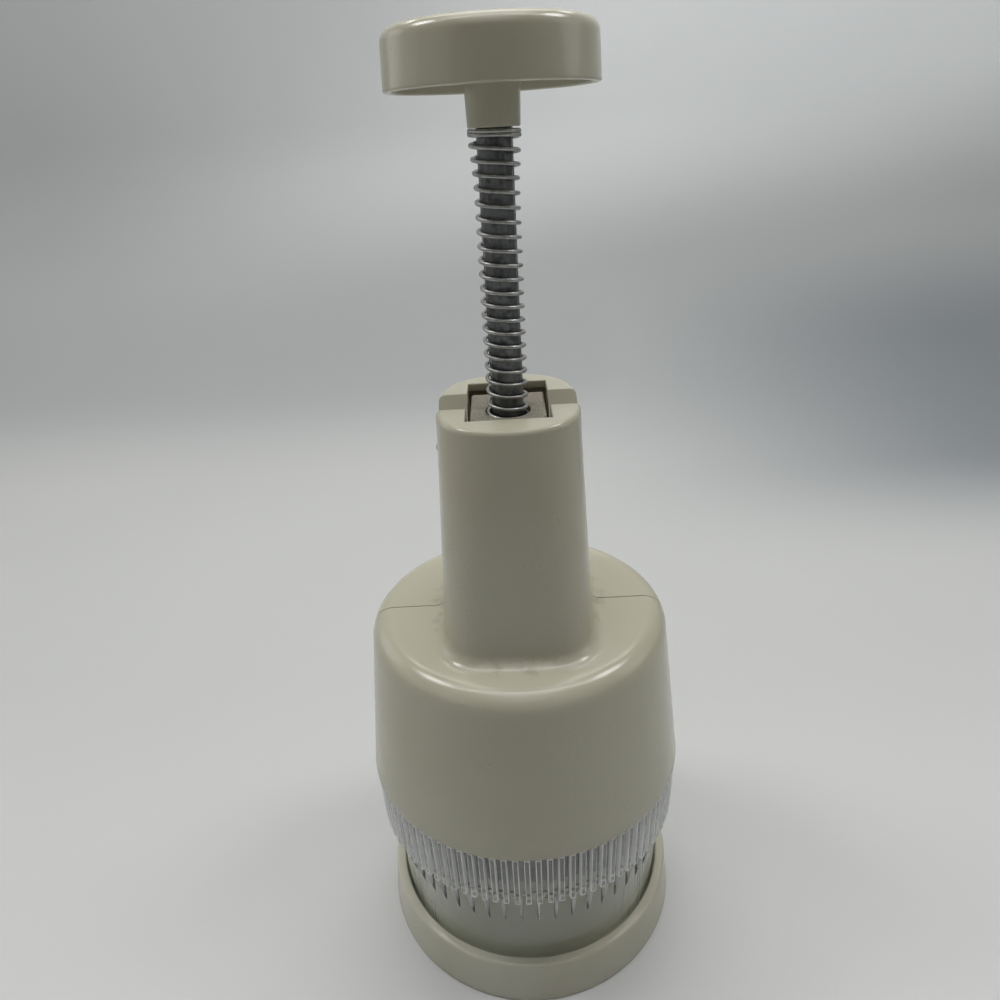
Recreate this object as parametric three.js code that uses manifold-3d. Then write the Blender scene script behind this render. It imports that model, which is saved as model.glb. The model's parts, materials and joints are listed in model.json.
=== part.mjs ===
// Plunger food chopper: a knob on a sprung rod pushes a folded blade down through a clear ribbed chamber,
// and a ratchet turns the blade by one tooth a stroke. The housing is two halves that swing apart on pins.
// Millimetres, +Z up, origin on the table under the middle of the base cup; the front of the neck faces -Y.
import * as THREE from "three";
import { mergeVertices } from "three/addons/utils/BufferGeometryUtils.js";
import Module from "manifold-3d";

const wasm = await Module();
wasm.setup();

// Clearances and cuts
const seatGap = 0.3; // between a piece and what it rests on
const slideGap = 0.3; // radial, round what slides or turns
const overrun = 1; // how far a cutting tool runs past a face
const facetTurn = 64; // sides of a large turned shape
const facetSmall = 28; // sides of a small turned shape
const facetScrew = 14;

// Base cup
const cupHeight = 14;
const cupFloor = 3.2;
const cupFootRadius = 45.9; // the whole body takes its width from this
const cupTaper = 1.4; // from foot to rim
const cupWall = 2.9; // at the rim
const cupRimRound = 0.7;
const cupFootRecess = 0.8;
const cupFootLand = 3;

// Clear chamber
const chamberWall = 2;
const ledgeShare = 0.55; // height of the ledge inside over the step outside, as a part of the wall
const bandHeight = 17.7;
const bandWall = 2.2; // under the ribs, at the foot of the band
const bandStep = 0.25; // the band's bore is this much wider than the plain wall
const bandTaper = 0.5; // how much wider the band is at its top
const ribCount = 94;
const ribDepth = 1.7;
const ribCrestShare = 0.44; // part of a rib's pitch that its flat crest takes
const ribRootShare = 0.46;
const gussetCount = 54;
const gussetHeight = 13.8;
const gussetThickness = 1.5;
const collarHeight = 5.2;
const collarGap = 0.9; // radial, inside the housing

// Housing halves
const shellWall = 2.2;
const shellProud = 0.2; // its foot beyond the band's top
const shellTaper = 4.7; // from foot to shoulder
const shoulderRound = 6;
const shoulderHeadroom = 4.1; // over the hub
const partingGap = 0.3;
const neckHeight = 60;
const neckTopHalfWidth = 17.5;
const neckTopHalfDepth = 22;
const neckFootHalfWidth = 20;
const neckFootHalfDepth = 28.6;
const neckFootPower = 4.1; // the neck's section is |x/a|^p + |y/b|^q = 1, and a higher power is squarer
const neckTopPowerX = 2.2;
const neckTopPowerY = 3.2;
const neckLipRound = 1.6;
const neckFootFillet = 3.4;
const filletShares = [1, 0.45, 0.15, 0]; // how far it stands out at even steps of its height
const neckRoof = 2.1;
const openingHalfWidth = 10.2;
const openingHalfDepth = 14.3;
const grooveHalfWidth = 5.6; // V groove between the halves, at the top of the neck

// Hinge pins
const pinRadius = 1;
const pinDrop = 9.4; // below the top of the neck
const pinOffset = 6; // in front of and behind the rod's axis
const pinProud = 0.7; // at the left; the right end stays inside the wall
const pinCover = 1.2;

// Guide block
const blockRecess = 2; // its top below the top of the neck
const blockHalfDepth = 10.4;
const blockFootHalfWidth = 14.5;
const blockFootHeight = 8.6;
const blockEdge = 0.6;
const blockSideGap = 0.8;
const pocketRadius = 6.6; // seat of the return spring
const pocketDepth = 3;

// Plunger
const stroke = 40;
const rodRadius = 3.95; // over the corners of its flats
const rodFlats = 12;
const springRoom = 22.4; // between the guide block and the boss when the knob is down
const bossFootRadius = 5.7;
const bossRootRadius = 6.15;
const bossLength = 7.3; // below the knob's rim
const rodGrip = 13.8; // length of rod inside the boss
const knobHeight = 13.1;
const knobRimRadius = 22.7;
const knobSideRadius = 22.2;
const knobRound = 2.9;
const knobCrown = 2.2; // rise of the domed top
const knobWall = 2.2;

// Return spring
const wireRadius = 0.45;
const coilRadius = 4.95; // to the middle of the wire
const endCoilRadius = 5.5;
const closedCoils = 2;
const endBlend = 0.75; // turns over which the wire swings out to the end turns
const closedPitch = 1.45;
const openPitch = 3.01;
const stepsPerCoil = 8;
const wireSides = 5;

// Stop clip and bumper
const clipThickness = 1;
const clipRadius = 5.9;
const grooveDepth = 0.6;
const bumperThickness = 2.3;
const bumperRadius = 6.3;

// Ratchet
const toothCount = 12;
const toothHeight = 3.4;
const toothOuterRadius = 9.8;
const toothSideGap = 0.3;
const toothRise = 0.65; // how far the fixed teeth stand above the moving ones
const ringCollar = 3.6; // plain part of the index ring above its teeth
const ringFlange = 3;
const ringFlangeHalfDepth = 10;
const indexScrewRadius = 1.1;
const indexHeadRadius = 2;
const indexHeadHeight = 1.5;
const indexScrewBite = 5;

// Blade carrier and crown
const crownBase = 3;
const hubRadius = 13;
const hubHeight = 7.8;
const flangeRadius = 5.6; // flange on the end of the rod
const flangeThickness = 2.5;
const flangeFloor = 2.6; // hub left under the flange, above the disc
const carrierSideGap = 4.9; // from its edge to the chamber's bore
const carrierThickness = 4;
const crownScrewRadius = 0.8;
const crownHeadRadius = 1.3;
const crownHeadHeight = 0.9;
const crownScrewBite = 4;

// Blade and scraper
const bladeThickness = 0.8;
const bladeEdge = 0.16; // thickness left at the cutting edge
const bladeBevel = 2.2;
const bladeEndGap = 2.5; // from the blade's end to the edge of the carrier
const bladeFoldDepth = 12.5;
const bladeFolds = 6;
const bladeTang = 3; // height inside the carrier
const mitreShare = 0.3; // least cosine by which a fold's corners are spread
const bladeLip = 0.5; // cutting edge above the scraper's underside
const bladeFloorGap = 0.6; // cutting edge above the cup's floor at the end of the stroke
const scraperThickness = 2.6;
const scraperRim = 1.4;
const scraperRimWidth = 2.4;
const scraperFreeHeight = 1; // left between scraper and carrier at the end of the stroke

// Radii that follow
const cupRimRadius = cupFootRadius - cupTaper;
const cupBore = cupRimRadius - cupWall;
const skirtRadius = cupBore - slideGap - seatGap / 2;
const skirtBore = skirtRadius - chamberWall;
const bandBore = skirtRadius + bandStep;
const bandFootRadius = bandBore + bandWall + ribDepth; // over the ribs
const bandTopRadius = bandFootRadius + bandTaper;
const shellFootRadius = bandTopRadius + shellProud;
const shellShoulderRadius = shellFootRadius - shellTaper;
const collarRadius = shellFootRadius - shellWall - collarGap;
const carrierRadius = bandBore - carrierSideGap;
const bladeHalfSpan = carrierRadius - bladeEndGap;
const rodBore = rodRadius + slideGap;
const ringBore = Math.max(clipRadius, bumperRadius) + slideGap;
const blockHalfWidth = openingHalfWidth - blockSideGap;

// Heights that follow
const ledgeRise = ledgeShare * chamberWall;
const skirtHeight = stroke + bladeFloorGap - bladeLip - ledgeRise - 2 * seatGap;
const chamberFootZ = cupFloor + seatGap;
const bandFootZ = chamberFootZ + skirtHeight;
const bandTopZ = bandFootZ + bandHeight;
const ledgeZ = bandFootZ + ledgeRise;
const scraperZ = ledgeZ + seatGap;
const bladeEdgeZ = scraperZ + bladeLip;
const carrierZ = scraperZ + scraperThickness + stroke + scraperFreeHeight;
const hubZ = carrierZ + carrierThickness;
const hubTopZ = hubZ + hubHeight;
const rodFootZ = hubZ + flangeFloor + seatGap;
const crownZ = hubTopZ + seatGap;
const toothZ = crownZ + crownBase;
const ringToothZ = toothZ + toothRise;
const ringRootZ = ringToothZ + toothHeight;
const ringFlangeZ = ringRootZ + ringCollar;
const blockFootZ = ringFlangeZ + ringFlange + seatGap;
const shellFootZ = bandTopZ + seatGap;
const shellSideZ = hubTopZ + shoulderHeadroom;
const shoulderZ = shellSideZ + shoulderRound;
const neckTopZ = shoulderZ + neckHeight;
const pinZ = neckTopZ - pinDrop;
const blockTopZ = neckTopZ - blockRecess;
const springSeatZ = blockTopZ - pocketDepth;
const bossFootZ = blockTopZ + springRoom + stroke;
const knobRimZ = bossFootZ + bossLength;
const knobTopZ = knobRimZ + knobHeight;

const cream = new THREE.MeshStandardMaterial({ color: 0xcdc8b0, roughness: 0.38, metalness: 0 });
const innerCream = new THREE.MeshStandardMaterial({ color: 0xc4bea6, roughness: 0.6, metalness: 0 });
const clearPlastic = new THREE.MeshStandardMaterial({
  color: 0xdfe5e4,
  roughness: 0.12,
  metalness: 0,
  transparent: true,
  opacity: 0.35,
});
const steel = new THREE.MeshStandardMaterial({ color: 0x6f7272, roughness: 0.35, metalness: 1 });
const springSteel = new THREE.MeshStandardMaterial({ color: 0xa9a9a4, roughness: 0.25, metalness: 1 });
const bladeSteel = new THREE.MeshStandardMaterial({ color: 0xc2c5c6, roughness: 0.22, metalness: 1 });
const rubber = new THREE.MeshStandardMaterial({ color: 0x2b2a28, roughness: 0.85, metalness: 0 });

// A closed geometry as a solid that can be joined and cut.
function solid(geometry) {
  const bare = geometry.index ? geometry.toNonIndexed() : geometry.clone();
  bare.deleteAttribute("normal");
  bare.deleteAttribute("uv");
  const merged = mergeVertices(bare, 1e-4);
  const index = merged.index.array;
  const kept = [];
  for (let i = 0; i < index.length; i += 3) {
    const [a, b, c] = [index[i], index[i + 1], index[i + 2]];
    if (a !== b && b !== c && c !== a) kept.push(a, b, c);
  }
  const mesh = new wasm.Mesh({
    numProp: 3,
    vertProperties: merged.attributes.position.array,
    triVerts: new Uint32Array(kept),
  });
  return new wasm.Manifold(mesh);
}

// The solid back as a geometry with flat-shaded faces.
function geometryOf(made) {
  const mesh = made.getMesh();
  const points = new Float32Array(mesh.vertProperties);
  const geometry = new THREE.BufferGeometry();
  geometry.setAttribute("position", new THREE.BufferAttribute(points, 3));
  geometry.setIndex(new THREE.BufferAttribute(new Uint32Array(mesh.triVerts), 1));
  const flat = geometry.toNonIndexed();
  flat.computeVertexNormals();
  return flat;
}

// Twice the signed area of an outline, positive when it runs anticlockwise.
function turnOf(outline) {
  return outline.reduce((sum, [x, y], i) => {
    const [u, v] = outline[(i + 1) % outline.length];
    return sum + x * v - u * y;
  }, 0);
}

// A profile of [radius, height] points turned about Z. One that stays off the axis closes on itself.
function turned(profile, sides = facetTurn) {
  const outline = turnOf(profile) > 0 ? profile : [...profile].reverse();
  const before = (i) => outline[(i + outline.length - 1) % outline.length];
  const start = outline.findIndex(([r], i) => r === 0 && before(i)[0] === 0);
  const shift = Math.max(start, 0);
  const ordered = [...outline.slice(shift), ...outline.slice(0, shift)];
  if (start < 0) ordered.push(outline[0]);
  const points = ordered.map(([r, z]) => new THREE.Vector2(r, z));
  return solid(new THREE.LatheGeometry(points, sides).rotateX(Math.PI / 2));
}

// A plain disc or, with a bore, a washer.
function washer(outer, bore, low, high, sides = facetSmall) {
  const inner = bore > 0 ? [[bore, high], [bore, low]] : [[0, high], [0, low]];
  return turned([[outer, low], [outer, high], ...inner], sides);
}

// A box between two corners.
function box(low, high) {
  const size = high.map((v, i) => v - low[i]);
  const middle = high.map((v, i) => (v + low[i]) / 2);
  return solid(new THREE.BoxGeometry(...size).translate(...middle));
}

// Rings of points joined into one closed skin, with a fan over each end.
function lofted(rings) {
  const count = rings[0].length;
  const middles = [rings[0], rings[rings.length - 1]].map((ring) =>
    [0, 1, 2].map((k) => ring.reduce((sum, p) => sum + p[k], 0) / count),
  );
  const points = [...rings.flat(), ...middles];
  const foot = points.length - 2;
  const head = points.length - 1;
  const last = (rings.length - 1) * count;
  const index = [];
  for (let i = 0; i < count; i++) {
    const next = (i + 1) % count;
    for (let base = 0; base < last; base += count) {
      index.push(base + i, base + next, base + count + next);
      index.push(base + i, base + count + next, base + count + i);
    }
    index.push(foot, next, i);
    index.push(head, last + i, last + next);
  }
  const geometry = new THREE.BufferGeometry();
  geometry.setAttribute("position", new THREE.Float32BufferAttribute(points.flat(), 3));
  geometry.setIndex(index);
  return solid(geometry);
}

// The neck's section at a height, grown or shrunk by an offset: |x/a|^p + |y/b|^q = 1.
function neckRing(z, offset) {
  const rise = (z - shoulderZ) / neckHeight;
  const { lerp, clamp } = THREE.MathUtils;
  const a = lerp(neckFootHalfWidth, neckTopHalfWidth, rise) + offset;
  const b = lerp(neckFootHalfDepth, neckTopHalfDepth, rise) + offset;
  const p = lerp(neckFootPower, neckTopPowerX, clamp(rise, 0, 1));
  const q = lerp(neckFootPower, neckTopPowerY, clamp(rise, 0, 1));
  return Array.from({ length: facetTurn }, (_, i) => {
    const angle = (2 * Math.PI * (i + 0.5)) / facetTurn;
    const [c, s] = [Math.cos(angle), Math.sin(angle)];
    return [a * Math.sign(c) * Math.abs(c) ** (2 / p), b * Math.sign(s) * Math.abs(s) ** (2 / q), z];
  });
}

// A quarter round from one angle to another, in degrees, as [radius, height] points.
function round(r, z, radius, from, to, steps = 4) {
  return Array.from({ length: steps + 1 }, (_, i) => {
    const angle = THREE.MathUtils.degToRad(THREE.MathUtils.lerp(from, to, i / steps));
    return [r + radius * Math.cos(angle), z + radius * Math.sin(angle)];
  });
}

// A strip of even thickness along a folded line, as the outline of its two sides.
function stripOutline(line, halfThickness) {
  const side = (sign) =>
    line.map((p, i) => {
      const before = line[Math.max(i - 1, 0)];
      const after = line[Math.min(i + 1, line.length - 1)];
      const from = p.clone().sub(before).normalize();
      const to = after.clone().sub(p).normalize();
      const along = from.add(to).normalize();
      const spread = to.lengthSq() > 0 ? Math.max(Math.abs(along.dot(to)), mitreShare) : 1;
      const reach = halfThickness / spread;
      return [p.x - sign * along.y * reach, p.y + sign * along.x * reach];
    });
  return [...side(-1), ...side(1).reverse()];
}

// An outline pushed straight up between two heights.
function prism(outline, low, high) {
  const shape = new THREE.Shape(outline.map(([x, y]) => new THREE.Vector2(x, y)));
  const geometry = new THREE.ExtrudeGeometry(shape, { depth: high - low, bevelEnabled: false });
  return solid(geometry.translate(0, 0, low));
}

// Outer and inner form of the housing, cut by its opening, its groove and the holes for the pins.
function housing() {
  const lipZ = neckTopZ - neckLipRound;
  const skin = turned([
    [shellFootRadius, shellFootZ],
    ...round(shellShoulderRadius - shoulderRound, shellSideZ, shoulderRound, 0, 90, 6),
    [0, shoulderZ],
    [0, shellFootZ],
  ]);
  const filletStep = neckFootFillet / (filletShares.length - 1);
  const neck = lofted([
    neckRing(shellSideZ, 0),
    ...filletShares.map((share, i) => neckRing(shoulderZ + filletStep * i, neckFootFillet * share)),
    neckRing(lipZ, 0),
    neckRing(lipZ + neckLipRound * Math.sin(Math.PI / 4), -neckLipRound * (1 - Math.cos(Math.PI / 4))),
    neckRing(neckTopZ, -neckLipRound),
  ]);
  const cavity = turned([
    [shellFootRadius - shellWall, shellFootZ - overrun],
    ...round(
      shellShoulderRadius - shoulderRound,
      shellSideZ - shellWall / 2,
      shoulderRound - shellWall,
      0,
      90,
    ),
    [0, shoulderZ - 1.5 * shellWall],
    [0, shellFootZ - overrun],
  ]);
  const neckCavity = lofted([neckRing(shellSideZ, -shellWall), neckRing(neckTopZ - neckRoof, -shellWall)]);
  const opening = box(
    [-openingHalfWidth, -openingHalfDepth, neckTopZ - neckRoof - overrun],
    [openingHalfWidth, openingHalfDepth, neckTopZ + overrun],
  );
  const reach = neckTopHalfWidth + overrun;
  const grooveTop = grooveHalfWidth * (1 + overrun / pinDrop);
  const high = neckTopZ + overrun;
  const groove = prism([[0, pinZ], [grooveTop, high], [-grooveTop, high]], -reach, reach);
  const turnedGroove = groove.rotate([90, 0, 90]);
  return skin.add(neck).subtract(cavity).subtract(neckCavity).subtract(opening).subtract(turnedGroove);
}

// A round bar along X at a pin's place, from one x to another.
function crossBar(radius, left, right, y) {
  const bar = new THREE.CylinderGeometry(radius, radius, right - left, facetSmall / 2);
  return solid(bar.rotateZ(Math.PI / 2).translate((left + right) / 2, y, pinZ));
}

function hingePin(y) {
  return crossBar(pinRadius, -neckTopHalfWidth - pinProud - seatGap, neckTopHalfWidth - pinCover, y);
}

// One half of the housing: side is -1 for the front and 1 for the rear.
function halfShell(whole, side) {
  const reach = shellFootRadius + overrun;
  const near = (side * partingGap) / 2;
  const far = side * reach;
  const keep = box([-reach, Math.min(near, far), 0], [reach, Math.max(near, far), neckTopZ + overrun]);
  const blindEnd = neckTopHalfWidth - pinCover + seatGap;
  const bore = crossBar(pinRadius + slideGap, -reach, blindEnd, side * pinOffset);
  return whole.intersect(keep).subtract(bore);
}

function guideBlock() {
  const column = box(
    [-blockHalfWidth, -blockHalfDepth, blockFootZ],
    [blockHalfWidth, blockHalfDepth, blockTopZ - blockEdge],
  );
  const head = box(
    [-blockHalfWidth + blockEdge, -blockHalfDepth + blockEdge, blockTopZ - 2 * blockEdge],
    [blockHalfWidth - blockEdge, blockHalfDepth - blockEdge, blockTopZ],
  );
  const foot = box(
    [-blockFootHalfWidth, -ringFlangeHalfDepth, blockFootZ],
    [blockFootHalfWidth, ringFlangeHalfDepth, blockFootZ + blockFootHeight],
  );
  let made = column.add(head).add(foot);
  made = made.subtract(washer(rodBore, 0, blockFootZ - overrun, blockTopZ + overrun));
  made = made.subtract(washer(ringBore, 0, blockFootZ - overrun, bumperZ + bumperThickness + seatGap));
  made = made.subtract(washer(pocketRadius, 0, springSeatZ, blockTopZ + overrun));
  for (const side of [-1, 1]) {
    const across = blockFootHalfWidth + overrun;
    made = made.subtract(crossBar(pinRadius + slideGap, -across, across, side * pinOffset));
    const holeTop = blockFootZ + indexScrewBite + seatGap;
    const hole = washer(indexScrewRadius + slideGap, 0, blockFootZ - overrun, holeTop, facetScrew);
    made = made.subtract(hole.translate([side * indexScrewX, 0, 0]));
  }
  return made;
}

// A ring of saw teeth between two radii: up is 1 for teeth that stand and -1 for teeth that hang.
function sawTeeth(baseZ, up, startAngle) {
  const pitch = (2 * Math.PI) / toothCount;
  const sink = seatGap;
  const wedge = (angle) => {
    const steep = up > 0 ? angle : angle + pitch;
    const corner = (r, a, z) => [r * Math.cos(a), r * Math.sin(a), z];
    const side = (r) => [
      corner(r, angle, baseZ - up * sink),
      corner(r, angle + pitch, baseZ - up * sink),
      ...(up > 0
        ? [corner(r, angle + pitch, baseZ), corner(r, steep, baseZ + toothHeight)]
        : [corner(r, steep, baseZ - toothHeight), corner(r, angle, baseZ)]),
    ];
    const [inner, outer] = [side(ringBore), side(toothOuterRadius)];
    return lofted(up > 0 ? [inner, outer] : [outer, inner]);
  };
  const teeth = Array.from({ length: toothCount }, (_, i) => wedge(startAngle + i * pitch));
  return teeth.reduce((a, b) => a.add(b));
}

function indexRing() {
  const flange = box(
    [-blockFootHalfWidth, -ringFlangeHalfDepth, ringFlangeZ],
    [blockFootHalfWidth, ringFlangeHalfDepth, ringFlangeZ + ringFlange],
  );
  const collar = washer(toothOuterRadius, 0, ringRootZ, ringFlangeZ + seatGap, 2 * toothCount);
  const lag = -toothSideGap / ((ringBore + toothOuterRadius) / 2);
  let made = flange.add(collar).add(sawTeeth(ringRootZ, -1, lag));
  made = made.subtract(washer(ringBore, 0, ringToothZ - overrun, blockFootZ + overrun, 2 * toothCount));
  for (const side of [-1, 1]) {
    const hole = washer(indexScrewRadius + slideGap, 0, ringFlangeZ - overrun, blockFootZ, facetScrew);
    made = made.subtract(hole.translate([side * indexScrewX, 0, 0]));
  }
  return made;
}

function indexScrew(side) {
  const headTop = ringFlangeZ - seatGap;
  const headFoot = headTop - indexHeadHeight;
  const head = washer(indexHeadRadius, 0, headFoot, headTop, facetScrew);
  const shank = washer(indexScrewRadius, 0, headTop - seatGap, blockFootZ + indexScrewBite, facetScrew);
  const slot = box(
    [-indexHeadRadius, -seatGap, headFoot - overrun],
    [indexHeadRadius, seatGap, headFoot + indexHeadHeight / 2],
  );
  return head.add(shank).subtract(slot).translate([side * indexScrewX, 0, 0]);
}

function ratchetCrown() {
  const base = washer(hubRadius, 0, crownZ, toothZ, 2 * facetSmall);
  let made = base.add(sawTeeth(toothZ, 1, 0));
  made = made.subtract(washer(rodBore, 0, crownZ - overrun, toothZ + toothHeight + overrun));
  for (const side of [-1, 1]) {
    const hole = washer(crownScrewRadius + slideGap, 0, crownZ - overrun, toothZ + overrun, facetScrew);
    made = made.subtract(hole.translate([0, side * crownScrewY, 0]));
  }
  return made;
}

function crownScrew(side) {
  const head = washer(crownHeadRadius, 0, toothZ + seatGap, toothZ + seatGap + crownHeadHeight, facetScrew);
  const shank = washer(crownScrewRadius, 0, hubTopZ - crownScrewBite, toothZ + 2 * seatGap, facetScrew);
  return head.add(shank).translate([0, side * crownScrewY, 0]);
}

// The blade's folded line, seen from above.
function bladeLine(halfSpan) {
  return Array.from({ length: bladeFolds + 1 }, (_, i) => {
    const x = THREE.MathUtils.lerp(-halfSpan, halfSpan, i / bladeFolds);
    const isEnd = i === 0 || i === bladeFolds;
    const depth = isEnd ? bladeFoldDepth / 2 : bladeFoldDepth;
    return new THREE.Vector2(x, i % 2 ? depth : -depth);
  });
}

function bladeCarrier() {
  const disc = washer(carrierRadius, 0, carrierZ, hubZ, facetTurn);
  const hub = washer(hubRadius, 0, hubZ - seatGap, hubTopZ, 2 * facetSmall);
  let made = disc.add(hub);
  made = made.subtract(washer(flangeRadius + slideGap, 0, rodFootZ - seatGap, hubTopZ + overrun));
  const slot = stripOutline(bladeLine(bladeHalfSpan + seatGap), bladeThickness / 2 + seatGap);
  made = made.subtract(prism(slot, carrierZ - overrun, carrierZ + bladeTang + seatGap));
  for (const side of [-1, 1]) {
    const low = hubTopZ - crownScrewBite - seatGap;
    const hole = washer(crownScrewRadius + slideGap, 0, low, hubTopZ + overrun, facetScrew);
    made = made.subtract(hole.translate([0, side * crownScrewY, 0]));
  }
  return made;
}

function zigzagBlade() {
  const level = (halfThickness, z) =>
    stripOutline(bladeLine(bladeHalfSpan), halfThickness).map(([x, y]) => [x, y, z]);
  const topZ = carrierZ + bladeTang;
  const strip = stripOutline(bladeLine(bladeHalfSpan), bladeThickness / 2);
  const body = prism(strip, bladeEdgeZ + bladeBevel, topZ);
  const sides = level(bladeThickness / 2, bladeEdgeZ + bladeBevel + bladeEdge);
  const edge = level(bladeEdge / 2, bladeEdgeZ);
  return body.add(bevelled(edge, sides));
}

// Two like outlines of a strip joined into one closed skin, capped by quads across the strip.
function bevelled(low, high) {
  const count = low.length;
  const points = [...low, ...high];
  const index = [];
  for (let i = 0; i < count; i++) {
    const next = (i + 1) % count;
    index.push(i, next, count + next);
    index.push(i, count + next, count + i);
  }
  for (let i = 0; i < count / 2 - 1; i++) {
    const [a, b, c, d] = [i, i + 1, count - 2 - i, count - 1 - i];
    index.push(a, c, b);
    index.push(a, d, c);
    index.push(count + a, count + b, count + c);
    index.push(count + a, count + c, count + d);
  }
  const geometry = new THREE.BufferGeometry();
  geometry.setAttribute("position", new THREE.Float32BufferAttribute(points.flat(), 3));
  geometry.setIndex(index);
  return solid(geometry);
}

function scraperDisc() {
  const outer = bandBore - slideGap;
  const top = scraperZ + scraperThickness;
  const disc = turned([
    [outer, scraperZ],
    [outer, top + scraperRim],
    [outer - scraperRimWidth, top + scraperRim],
    [outer - scraperRimWidth, top],
    [0, top],
    [0, scraperZ],
  ]);
  const slot = stripOutline(bladeLine(bladeHalfSpan + seatGap), bladeThickness / 2 + seatGap);
  return disc.subtract(prism(slot, scraperZ - overrun, top + overrun));
}

// The ribbed band: flat-crested ribs round a tapering ring, joined to the plain walls above and below.
function clearChamber() {
  const collarTopZ = bandTopZ + collarHeight;
  const walls = turned([
    [skirtBore, chamberFootZ],
    [skirtRadius, chamberFootZ],
    [skirtRadius, bandFootZ],
    [bandFootRadius - ribDepth, bandFootZ],
    [collarRadius, bandTopZ - overrun],
    [collarRadius, collarTopZ],
    [bandBore, collarTopZ],
    [bandBore, ledgeZ],
    [skirtBore, ledgeZ],
  ]);
  const pitch = (2 * Math.PI) / ribCount;
  const ribRing = (z, crest) => {
    const ring = [];
    for (let i = 0; i < ribCount; i++) {
      const root = crest - ribDepth;
      ring.push([crest, i - ribCrestShare / 2], [crest, i + ribCrestShare / 2]);
      ring.push([root, i + 0.5 - ribRootShare / 2], [root, i + 0.5 + ribRootShare / 2]);
    }
    return ring.map(([r, turn]) => [r * Math.cos(turn * pitch), r * Math.sin(turn * pitch), z]);
  };
  const ribs = lofted([ribRing(bandFootZ, bandFootRadius), ribRing(bandTopZ, bandTopRadius)]);
  const core = washer((collarRadius + bandBore) / 2, 0, bandFootZ - overrun, bandTopZ + overrun, facetTurn);
  const gusset = gussetShape();
  let made = walls.add(ribs.subtract(core));
  for (let i = 0; i < gussetCount; i++) made = made.add(gusset.rotate([0, 0, (360 * i) / gussetCount]));
  return made;
}

// One short web under the band, tapering down the plain wall.
function gussetShape() {
  const foot = skirtRadius - seatGap;
  const outline = [
    [foot, bandFootZ + seatGap],
    [foot, bandFootZ - gussetHeight],
    [bandFootRadius - ribDepth / 2, bandFootZ + seatGap],
  ];
  const web = prism(outline, -gussetThickness / 2, gussetThickness / 2);
  return web.rotate([90, 0, 0]);
}

function baseCup() {
  const rimZ = cupHeight - cupRimRound;
  return turned([
    [0, cupFootRecess],
    [cupFootRadius - cupFootLand, cupFootRecess],
    [cupFootRadius - cupFootLand, 0],
    [cupFootRadius, 0],
    [cupRimRadius, rimZ],
    [cupRimRadius - cupRimRound, cupHeight],
    [cupBore, cupHeight],
    [cupBore, cupFloor],
    [0, cupFloor],
  ]);
}

function knob() {
  const sideZ = knobTopZ - knobCrown - knobRound;
  const ceilingZ = sideZ + knobRound - knobWall;
  const flatRadius = knobSideRadius - knobRound;
  const shell = turned([
    [knobRimRadius - knobWall, knobRimZ],
    [knobRimRadius, knobRimZ],
    ...round(flatRadius, sideZ, knobRound, 0, 80),
    [flatRadius / 2, knobTopZ - knobCrown / 4],
    [0, knobTopZ],
    [0, ceilingZ],
    [flatRadius - knobWall / 2, ceilingZ],
    [knobSideRadius - knobWall, ceilingZ - knobWall / 2],
  ]);
  const bossTopZ = ceilingZ + seatGap;
  const boss = turned(
    [
      [0, bossFootZ],
      [bossFootRadius, bossFootZ],
      [bossRootRadius, bossTopZ],
      [0, bossTopZ],
    ],
    facetSmall,
  );
  return shell.add(boss).subtract(washer(rodBore, 0, bossFootZ - overrun, bossFootZ + rodGrip + seatGap));
}

function plungerRod() {
  const topZ = bossFootZ + rodGrip;
  const bar = washer(rodRadius, 0, rodFootZ, topZ, rodFlats);
  const flange = washer(flangeRadius, 0, rodFootZ, rodFootZ + flangeThickness);
  const grooveHalf = clipThickness / 2 + seatGap;
  const grooveZ = clipZ + clipThickness / 2;
  const waist = rodRadius - grooveDepth;
  const cut = washer(rodRadius + overrun, waist, grooveZ - grooveHalf, grooveZ + grooveHalf);
  return bar.add(flange).subtract(cut);
}

// One unbroken wire wound left-handed: open turns below, closed turns at the top, ends square to their seats.
function springPath() {
  const lowZ = springSeatZ + seatGap;
  const highZ = bossFootZ - seatGap;
  const lead = 2 * wireRadius;
  const closedRise = closedCoils * closedPitch;
  const span = highZ - lowZ - 2 * lead;
  const openCoils = Math.round((span - closedRise) / openPitch);
  const rise = span - closedRise;
  const steps = (openCoils + closedCoils) * stepsPerCoil;
  const points = [new THREE.Vector3(coilRadius, 0, lowZ)];
  for (let i = 0; i <= steps; i++) {
    const coils = i / stepsPerCoil;
    const open = Math.min(coils, openCoils);
    const closed = Math.max(coils - openCoils, 0);
    const z = lowZ + lead + (rise * open) / openCoils + closedPitch * closed;
    const widen = THREE.MathUtils.smoothstep(coils, openCoils - endBlend, openCoils);
    const r = THREE.MathUtils.lerp(coilRadius, endCoilRadius, widen);
    const angle = -2 * Math.PI * coils;
    points.push(new THREE.Vector3(r * Math.cos(angle), r * Math.sin(angle), z));
  }
  points.push(new THREE.Vector3(endCoilRadius, 0, highZ));
  return points;
}

// A round wire through points, each section square to the bend there.
function wireAlong(path, radius, sides) {
  const rings = path.map((p, i) => {
    const before = path[Math.max(i - 1, 0)];
    const after = path[Math.min(i + 1, path.length - 1)];
    const along = after.clone().sub(before).normalize();
    if (i === 0 || i === path.length - 1) along.set(0, 0, 1);
    const outward = new THREE.Vector3(p.x, p.y, 0).normalize();
    outward.addScaledVector(along, -outward.dot(along)).normalize();
    const across = new THREE.Vector3().crossVectors(along, outward);
    return Array.from({ length: sides }, (_, k) => {
      const angle = (2 * Math.PI * (k + 0.5)) / sides;
      const point = p.clone();
      point.addScaledVector(outward, radius * Math.cos(angle));
      point.addScaledVector(across, radius * Math.sin(angle));
      return point.toArray();
    });
  });
  return lofted(rings);
}

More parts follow.
